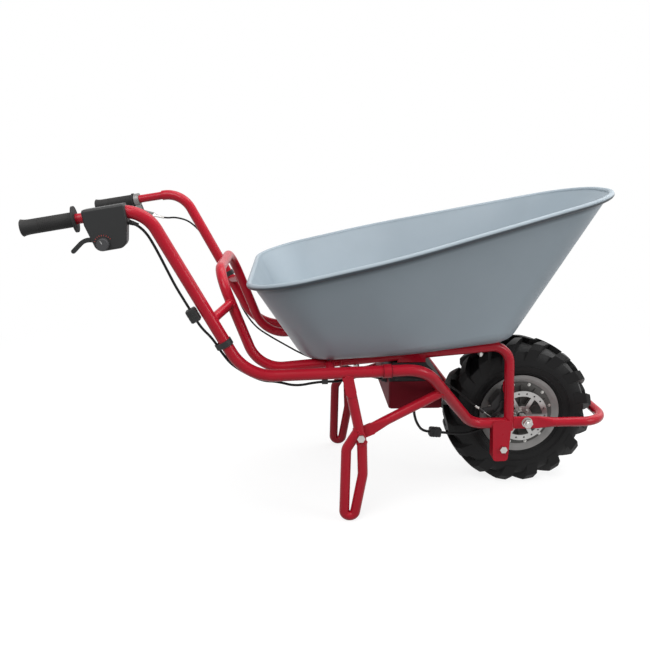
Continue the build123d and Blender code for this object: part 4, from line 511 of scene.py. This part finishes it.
# where a tube that runs from start to goal enters the main tube's wall
def jointLoop(joint):
    start, goal = Vector(joint["start"]), Vector(joint["to"])
    along = (goal - start).normalized()
    first, second = acrossOf(along)
    lineStart, lineEnd, mainRadius = joint["main"]
    origin = Vector(lineStart)
    axis = (Vector(lineEnd) - origin).normalized()
    run = along - axis * along.dot(axis)
    squared = run.dot(run)
    loop = []
    for step in range(weldSet["steps"]):
        angle = 2 * math.pi * step / weldSet["steps"]
        point = start + joint["radius"] * (math.cos(angle) * first + math.sin(angle) * second)
        offset = point - origin
        flat = offset - axis * offset.dot(axis)
        half, rest = flat.dot(run), flat.dot(flat) - mainRadius ** 2
        root = max(half * half - squared * rest, 0.0)
        loop.append(point + along * ((-half - math.sqrt(root)) / squared))
    return loop


def ringLoop(place, along, radius, steps):
    first, second = acrossOf(Vector(along).normalized())
    angles = [2 * math.pi * step / steps for step in range(steps)]
    return [Vector(place) + radius * (math.cos(a) * first + math.sin(a) * second) for a in angles]


def loopsMesh(name, loops, openLines=()):
    mesh = bpy.data.meshes.new(name)
    points, lines = [], []
    for loop in loops:
        base = len(points)
        points.extend(loop)
        lines.extend((base + i, base + (i + 1) % len(loop)) for i in range(len(loop)))
    for line in openLines:
        base = len(points)
        points.extend(line)
        lines.extend((base + i, base + i + 1) for i in range(len(line) - 1))
    mesh.from_pydata(points, lines, [])
    return mesh


def makeWelds():
    sizes = {"Bead": weldSet["bead"], "Spacing": weldSet["spacing"], "Seed": weldSet["seed"]}
    tree, start, end = newTree("weldBead", sizes)
    path = put(tree, "GeometryNodeMeshToCurve", {0: start.outputs["Geometry"]}).outputs[0]
    steps = put(tree, "GeometryNodeResampleCurve", {"Curve": path, "Length": start.outputs["Spacing"]},
                mode="LENGTH")
    bead = put(tree, "GeometryNodeMeshIcoSphere",
               {"Radius": start.outputs["Bead"], "Subdivisions": weldSet["roundness"]})
    least, most = weldSet["uneven"]
    uneven = put(tree, "FunctionNodeRandomValue", {2: least, 3: most, "Seed": start.outputs["Seed"]},
                 data_type="FLOAT")
    laid = put(tree, "GeometryNodeInstanceOnPoints",
               {"Points": steps.outputs[0], "Instance": bead.outputs[0], "Scale": uneven.outputs[1]})
    closeTree(tree, end, laid.outputs[0], "redPaint")
    right = [jointLoop(joint) for joint in weldJoints]
    right += [ringLoop(ring["place"], ring["along"], ring["radius"], weldSet["steps"]) for ring in weldRings]
    left = [[Vector((p.x, -p.y, p.z)) for p in loop] for loop in right]
    mesh = growMesh("frameWelds", tree, sizes, loopsMesh("weldLoops", right + left))
    addPiece("frameWelds", mesh, "frame")


makeWelds()
print("welds laid")


# ridges along lines: sidewall rings, thread turns, collar edges, connector ribs
wheelCentre = (0.475, 0.0, 0.2)
sidewallRings = [(0.1140, 0.0457), (0.1180, 0.0479), (0.1330, 0.0530), (0.1365, 0.0535)]  # radius, half width
sidewallSteps = 96
axleThread = {"radius": 0.0069, "from": 0.1222, "turns": 2.6, "pitch": 0.0016, "turnSteps": 24}
collarEdge = {"x": (0.0769, 0.0971), "radius": 0.0167, "steps": 48}
connectorSets = [
    {"centre": (-0.3571, -0.2650, 0.5343), "along": (0.4711, 0.0412, -0.8811)},
    {"centre": (0.2380, -0.0840, 0.1670), "along": (0.9929, 0.0510, -0.1072)},
]
connectorRib = {"wide": 0.0100, "tall": 0.0120, "corner": 0.004, "cornerSteps": 4,
                "steps": (-0.009, -0.006, -0.003, 0.004)}
ridgeSizes = {"sidewallRings": 0.0011, "axleThreads": 0.0006, "collarEdges": 0.0007, "connectorRibs": 0.0008}
ridgeSides = 8


def helixLine(place, along, kit):
    axis = Vector(along).normalized()
    first, second = acrossOf(axis)
    line = []
    for step in range(int(kit["turns"] * kit["turnSteps"]) + 1):
        angle = 2 * math.pi * step / kit["turnSteps"]
        lift = axis * (kit["pitch"] * step / kit["turnSteps"])
        across = math.cos(angle) * first + math.sin(angle) * second
        line.append(Vector(place) + lift + kit["radius"] * across)
    return line


def ribLoop(centre, along, kit):
    axis = Vector(along).normalized()
    across = (Vector((0, 1, 0)) - axis * axis.y).normalized()
    upward = axis.cross(across)
    loop = []
    for quarter, (signX, signY) in enumerate(((1, 1), (-1, 1), (-1, -1), (1, -1))):
        for step in range(kit["cornerSteps"] + 1):
            angle = math.pi / 2 * (quarter + step / kit["cornerSteps"])
            x = signX * (kit["wide"] - kit["corner"]) + kit["corner"] * math.cos(angle)
            y = signY * (kit["tall"] - kit["corner"]) + kit["corner"] * math.sin(angle)
            loop.append(Vector(centre) + across * x + upward * y)
    return loop


def makeRidges(name, loops, openLines, body, finish):
    sizes = {"Ridge": ridgeSizes[name], "Sides": ridgeSides}
    tree, start, end = newTree(name, sizes)
    path = put(tree, "GeometryNodeMeshToCurve", {0: start.outputs["Geometry"]}).outputs[0]
    section = put(tree, "GeometryNodeCurvePrimitiveCircle",
                  {0: start.outputs["Sides"], 4: start.outputs["Ridge"]})
    swept = put(tree, "GeometryNodeCurveToMesh",
                {"Curve": path, "Profile Curve": section.outputs[0], "Fill Caps": True})
    closeTree(tree, end, swept.outputs[0], finish)
    addPiece(name, growMesh(name, tree, sizes, loopsMesh(name + "Lines", loops, openLines)), body)


def makeAllRidges():
    sides = (-1, 1)
    rings = [ringLoop((wheelCentre[0], side * half, wheelCentre[2]), (0, 1, 0), radius, sidewallSteps)
             for radius, half in sidewallRings for side in sides]
    makeRidges("sidewallRings", rings, (), "wheel", "tyreRubber")
    turns = [helixLine((wheelCentre[0], side * axleThread["from"], wheelCentre[2]), (0, side, 0), axleThread)
             for side in sides]
    makeRidges("axleThreads", (), turns, "frame", "zincPlate")
    start, end, _ = lowerRail
    along = (Vector(end) - Vector(start)).normalized()
    edges = []
    for x in collarEdge["x"]:
        place = Vector(end) + along * ((x - end[0]) / along.x)
        for side in sides:
            mirrored = ((place.x, side * place.y, place.z), (along.x, side * along.y, along.z))
            edges.append(ringLoop(*mirrored, collarEdge["radius"], collarEdge["steps"]))
    # the collar edges take the same darker red: painted shade of the grooves at the collar's ends
    makeRidges("collarEdges", edges, (), "frame", "shadedRedPaint")
    ribs = [ribLoop(Vector(kit["centre"]) + Vector(kit["along"]) * step, kit["along"], connectorRib)
            for kit in connectorSets for step in connectorRib["steps"]]
    makeRidges("connectorRibs", ribs, (), "frame", "blackPlastic")


makeAllRidges()
print("ridges laid:", len(ridgeSizes))


# screw heads on points, all facing one way: a round seat, a six-sided block and a bevelled crown
boxAxes = {"origin": (-0.530718, -0.280205, 0.760621), "x": (0.984198, 0.08602, 0.154773),
           "y": (-0.154185, -0.013476, 0.98795), "z": (0.087069, -0.996202, 0.0)}


def onBox(x, y, z):
    steps = (Vector(boxAxes[axis]) * value for axis, value in zip("xyz", (x, y, z)))
    return sum(steps, Vector(boxAxes["origin"]))


def boltRing(count, radius, offset):
    return ringLoop((wheelCentre[0], offset, wheelCentre[2]), (0, 1, 0), radius, count)


screwShape = {"seatSides": 24, "headSides": 6, "seatHeight": 0.3, "seatWidth": 1.35, "crownWidth": 0.82,
              "seed": 5}
coverRing = {"count": 12, "radius": 0.0838, "offset": 0.0432}
discRing = {"count": 6, "radius": 0.0200, "offset": -0.0640}
clampFace = {"z": -0.0202, "spots": ((-0.034, 0.010), (0.034, 0.010), (-0.019, -0.058), (0.019, -0.058))}
lidRow = {"x": (0.122, 0.172, 0.222), "y": 0.150, "z": 0.338}
zinc = {"slot": "zinc_steel", "finish": "zincPlate"}
black = {"slot": "black_paint", "finish": "blackPaint"}
screwSets = {
    "coverBoltsRight": {
        **zinc, "body": "wheel", "head": 0.0032, "height": 0.0026, "out": (0.0, -1.0, 0.0),
        "spots": boltRing(coverRing["count"], coverRing["radius"], -coverRing["offset"])},
    "coverBoltsLeft": {
        **zinc, "body": "wheel", "head": 0.0032, "height": 0.0026, "out": (0.0, 1.0, 0.0),
        "spots": boltRing(coverRing["count"], coverRing["radius"], coverRing["offset"])},
    "discBolts": {
        **zinc, "body": "wheel", "head": 0.0038, "height": 0.0030, "out": (0.0, -1.0, 0.0),
        "spots": boltRing(discRing["count"], discRing["radius"], discRing["offset"])},
    "clampScrews": {
        **zinc, "body": "frame", "head": 0.0027, "height": 0.0018, "out": (-0.087069, 0.996202, 0.0),
        "spots": [onBox(x, y, clampFace["z"]) for x, y in clampFace["spots"]]},
    "lidScrewsLeft": {
        **black, "body": "frame", "head": 0.0036, "height": 0.0026, "out": (0.0, 1.0, 0.0),
        "spots": [(x, lidRow["y"], lidRow["z"]) for x in lidRow["x"]]},
    "lidScrewsRight": {
        **black, "body": "frame", "head": 0.0036, "height": 0.0026, "out": (0.0, -1.0, 0.0),
        "spots": [(x, -lidRow["y"], lidRow["z"]) for x in lidRow["x"]]},
}


def makeScrews(name, kit):
    sizes = {"Head": kit["head"], "Height": kit["height"], "Out": kit["out"], "Seed": screwShape["seed"]}
    tree, start, end = newTree(name, sizes)
    head, height = start.outputs["Head"], start.outputs["Height"]
    low = times(tree, height, screwShape["seatHeight"])
    wide = times(tree, head, screwShape["seatWidth"])
    narrow = times(tree, head, screwShape["crownWidth"])
    seatSides, headSides = screwShape["seatSides"], screwShape["headSides"]
    layers = [(seatSides, wide, wide, low), (headSides, head, head, height), (headSides, narrow, head, low)]
    seat, block, crown = [
        put(tree, "GeometryNodeMeshCone",
            {"Vertices": sides, "Radius Top": top, "Radius Bottom": bottom, "Depth": depth}).outputs[0]
        for sides, top, bottom, depth in layers]
    lift = put(tree, "ShaderNodeCombineXYZ", {"Z": height}).outputs[0]
    raised = put(tree, "GeometryNodeTransform", {"Geometry": crown, "Translation": lift}).outputs[0]
    joined = put(tree, "GeometryNodeJoinGeometry")
    for part in (seat, block, raised):
        tree.links.new(part, joined.inputs[0])
    turn = put(tree, "FunctionNodeRandomValue",
               {0: (0.0, 0.0, 0.0), 1: (0.0, 0.0, math.pi), 8: start.outputs["Seed"]},
               data_type="FLOAT_VECTOR")
    facing = put(tree, "FunctionNodeAlignRotationToVector", {"Vector": start.outputs["Out"]}, axis="Z")
    spun = put(tree, "FunctionNodeRotateRotation", {0: facing.outputs[0], 1: turn.outputs[0]},
               rotation_space="LOCAL")
    laid = put(tree, "GeometryNodeInstanceOnPoints",
               {"Points": start.outputs["Geometry"], "Instance": joined.outputs[0],
                "Rotation": spun.outputs[0]})
    closeTree(tree, end, laid.outputs[0], kit["finish"], smooth=False)
    spots = bpy.data.meshes.new(name + "Spots")
    spots.from_pydata([tuple(spot) for spot in kit["spots"]], [], [])
    addPiece(name, growMesh(name, tree, sizes, spots), kit["body"])


for screwName, screwKit in screwSets.items():
    makeScrews(screwName, screwKit)
print("screws set:", len(screwSets))


# turned pieces: profiles of (radius, height) swept round an axis
turnSet = {"steps": 28, "sharpAngle": 38}
bootProfile = [(0.0058, 0.0), (0.0060, 0.0025), (0.0050, 0.0035), (0.0057, 0.0060), (0.0047, 0.0070),
               (0.0053, 0.0095), (0.0043, 0.0105), (0.0049, 0.0130), (0.0040, 0.0140), (0.0037, 0.0200),
               (0.0032, 0.0212)]
glandProfile = [(0.0090, 0.0), (0.0090, 0.0045), (0.0074, 0.0050), (0.0076, 0.0105), (0.0066, 0.0125),
                (0.0044, 0.0145), (0.0036, 0.0150)]
ferruleProfile = [(0.0035, 0.0), (0.0035, 0.0090), (0.0031, 0.0098), (0.0031, 0.0120), (0.0026, 0.0125)]
valveProfile = [(0.0046, 0.0), (0.0046, 0.0035), (0.0034, 0.0050), (0.0032, 0.0120), (0.0039, 0.0125),
                (0.0039, 0.0200), (0.0030, 0.0212)]
wireProfile = [(0.0008, 0.0), (0.0008, 0.0510)]
plastic = {"slot": "black_plastic", "finish": "blackPlastic"}
turnedSets = {
    "harnessBoot": {**plastic, "profile": bootProfile, "place": (-0.4837, -0.2761, 0.7437),
                    "goal": (-0.4690, -0.2748, 0.7390), "body": "frame"},
    "batteryGland": {**plastic, "profile": glandProfile, "place": (0.1039, -0.0980, 0.3220),
                     "goal": (0.0896, -0.0980, 0.3220), "body": "frame"},
    "leadGland": {**plastic, "profile": glandProfile, "place": (0.1760, -0.1040, 0.2579),
                  "goal": (0.1760, -0.1040, 0.2400), "body": "frame"},
    "axleBoot": {**plastic, "profile": bootProfile, "place": (0.4648, -0.0840, 0.2000),
                 "goal": (0.4380, -0.0840, 0.1980), "body": "frame"},
    "adjusterFerrule": {**zinc, "profile": ferruleProfile, "place": (-0.5200, 0.2793, 0.7028),
                        "goal": (-0.5028, 0.2778, 0.6985), "body": "frame"},
    "stopFerrule": {**zinc, "profile": ferruleProfile, "place": (0.3511, -0.0876, 0.2331),
                    "goal": (0.3317, -0.0876, 0.2472), "body": "frame"},
    "brakeWire": {**zinc, "profile": wireProfile, "place": (0.3511, -0.0876, 0.2331),
                  "goal": (0.3885, -0.0876, 0.2060), "body": "frame"},
    "valveStem": {**zinc, "profile": valveProfile, "place": (0.475, 0.0420, 0.2945),
                  "goal": (0.475, 0.0620, 0.2915), "body": "wheel"},
}


def turnedMesh(name, profile, place, goal):
    axis = (Vector(goal) - Vector(place)).normalized()
    steps = turnSet["steps"]
    build = bmesh.new()
    rings = []
    for radius, height in profile:
        loop = ringLoop(Vector(place) + axis * height, axis, radius, steps)
        rings.append([build.verts.new(point) for point in loop])
    for lower, upper in zip(rings, rings[1:]):
        for i in range(steps):
            j = (i + 1) % steps
            build.faces.new((lower[i], lower[j], upper[j], upper[i]))
    build.faces.new(rings[0])
    build.faces.new(rings[-1])
    bmesh.ops.recalc_face_normals(build, faces=build.faces)
    for face in build.faces:
        face.smooth = True
    mesh = bpy.data.meshes.new(name)
    build.to_mesh(mesh)
    build.free()
    mesh.set_sharp_from_angle(angle=math.radians(turnSet["sharpAngle"]))
    return mesh


for turnedName, turnedKit in turnedSets.items():
    turned = turnedMesh(turnedName, turnedKit["profile"], turnedKit["place"], turnedKit["goal"])
    addPiece(turnedName, turned, turnedKit["body"], turnedKit["finish"])
print("turned pieces:", len(turnedSets))


# scale marks on the control box above the knob, and the knob's pointer
knobPlace = {"x": -0.014, "y": -0.059, "face": 0.0250, "top": 0.0383}
tickSet = {"Count": 9, "Ring": 0.0185, "First": math.radians(28), "Sweep": math.radians(124),
           "Size": (0.0032, 0.0011, 0.0007)}
pointerSet = {"size": (0.0015, 0.0085, 0.0012), "out": 0.0056, "turn": 20, "edge": 0.0004, "edgeSteps": 2,
              "edgeShape": 0.5}


def boxMatrix(x, y, z):
    columns = [Vector(boxAxes[axis]) for axis in "xyz"]
    turn = Matrix([[column[row] for column in columns] for row in range(3)]).to_4x4()
    return Matrix.Translation(onBox(x, y, z)) @ turn


def makeTicks():
    tree, start, end = newTree("knobTicks", tickSet)
    arc = put(tree, "GeometryNodeCurveArc", {0: start.outputs["Count"], 4: start.outputs["Ring"],
                                             5: start.outputs["First"], 6: start.outputs["Sweep"]})
    points = put(tree, "GeometryNodeCurveToPoints", {0: arc.outputs[0]}, mode="EVALUATED")
    bar = put(tree, "GeometryNodeMeshCube", {0: start.outputs["Size"]})
    outward = put(tree, "GeometryNodeInputPosition").outputs[0]
    facing = put(tree, "FunctionNodeAlignRotationToVector", {"Vector": outward}, axis="X", pivot_axis="Z")
    laid = put(tree, "GeometryNodeInstanceOnPoints",
               {"Points": points.outputs[0], "Instance": bar.outputs[0], "Rotation": facing.outputs[0]})
    closeTree(tree, end, laid.outputs[0], "tickPaint", smooth=False)
    mesh = growMesh("knobTicks", tree, tickSet, bpy.data.meshes.new("knobTicksStart"))
    mesh.transform(boxMatrix(knobPlace["x"], knobPlace["y"], knobPlace["face"]))
    addPiece("knobTicks", mesh, "frame")


def makePointer():
    build = bmesh.new()
    bmesh.ops.create_cube(build, size=1.0)
    bmesh.ops.scale(build, vec=pointerSet["size"], verts=build.verts)
    bmesh.ops.bevel(build, geom=build.edges, offset=pointerSet["edge"], segments=pointerSet["edgeSteps"],
                    affect="EDGES", profile=pointerSet["edgeShape"])
    bmesh.ops.translate(build, vec=(0, pointerSet["out"], 0), verts=build.verts)
    turn = Matrix.Rotation(math.radians(pointerSet["turn"]), 3, "Z")
    bmesh.ops.rotate(build, cent=(0, 0, 0), matrix=turn, verts=build.verts)
    mesh = bpy.data.meshes.new("knobPointer")
    build.to_mesh(mesh)
    build.free()
    mesh.transform(boxMatrix(knobPlace["x"], knobPlace["y"], knobPlace["top"]))
    addPiece("knobPointer", mesh, "knob", "palePlastic")


makeTicks()
makePointer()
print("knob marked")


# studio: pale floor that keeps the shadow, white beyond it, soft lamps
studioSet = {"floorReach": 14.0, "floorTone": 0.24, "floorGlow": 0.84, "fade": (1.0, 2.2), "white": 1.0,
             "ambient": 0.19}
lampSets = [
    {"name": "keyLamp", "place": (-1.2, -2.4, 3.2), "aim": (0.0, 0.0, 0.4), "size": 2.2, "power": 86.0},
    {"name": "topLamp", "place": (0.9, 0.4, 3.4), "aim": (0.1, 0.0, 0.4), "size": 3.0, "power": 84.0},
    {"name": "rimLamp", "place": (2.6, 1.4, 1.8), "aim": (0.2, 0.0, 0.4), "size": 1.8, "power": 14.0},
    {"name": "sideLamp", "place": (2.6, -1.6, 1.3), "aim": (0.4, 0.0, 0.3), "size": 1.0, "power": 22.0},
]


def seenDirectly(tree):
    path = put(tree, "ShaderNodeLightPath")
    glossy = calc(tree, "MAXIMUM", path.outputs["Is Camera Ray"], path.outputs["Is Glossy Ray"])
    return calc(tree, "MAXIMUM", glossy, path.outputs["Is Transmission Ray"])


def makeFloor():
    reach = studioSet["floorReach"]
    corners = [(-reach, -reach, 0), (reach, -reach, 0), (reach, reach, 0), (-reach, reach, 0)]
    floorMesh = bpy.data.meshes.new("floor")
    floorMesh.from_pydata(corners, [], [(0, 1, 2, 3)])
    floor = bpy.data.objects.new("floor", floorMesh)
    scene.collection.objects.link(floor)
    material = bpy.data.materials.new("floorPale")
    material.use_nodes = True
    tree = material.node_tree
    tree.nodes.clear()
    tone = studioSet["floorTone"]
    matt = put(tree, "ShaderNodeBsdfDiffuse", {"Color": (tone, tone, tone, 1)})
    seen = seenDirectly(tree)
    near = put(tree, "ShaderNodeEmission", {"Strength": times(tree, seen, studioSet["floorGlow"])})
    both = put(tree, "ShaderNodeAddShader", {0: matt.outputs[0], 1: near.outputs[0]})
    away = put(tree, "ShaderNodeVectorMath", {0: objectPlace(tree)}, operation="LENGTH").outputs["Value"]
    far = times(tree, spread(tree, away, *studioSet["fade"], 0.0, 1.0), seen)
    white = put(tree, "ShaderNodeEmission", {"Strength": studioSet["white"]})
    faded = put(tree, "ShaderNodeMixShader", {0: far, 1: both.outputs[0], 2: white.outputs[0]})
    put(tree, "ShaderNodeOutputMaterial", {"Surface": faded.outputs[0]})
    floorMesh.materials.append(material)


def makeWorld():
    world = bpy.data.worlds.new("studio")
    scene.world = world
    world.use_nodes = True
    tree = world.node_tree
    tree.nodes.clear()
    strength = spread(tree, seenDirectly(tree), 0.0, 1.0, studioSet["ambient"], studioSet["white"])
    sky = put(tree, "ShaderNodeBackground", {"Color": (1, 1, 1, 1), "Strength": strength})
    put(tree, "ShaderNodeOutputWorld", {"Surface": sky.outputs[0]})


def makeLamps():
    for kit in lampSets:
        lamp = bpy.data.objects.new(kit["name"], bpy.data.lights.new(kit["name"], "AREA"))
        lamp.data.size = kit["size"]
        lamp.data.energy = kit["power"]
        lamp.location = kit["place"]
        towards = Vector(kit["aim"]) - Vector(kit["place"])
        lamp.rotation_euler = towards.to_track_quat("-Z", "Y").to_euler()
        scene.collection.objects.link(lamp)


makeFloor()
makeWorld()
makeLamps()
print("studio set")
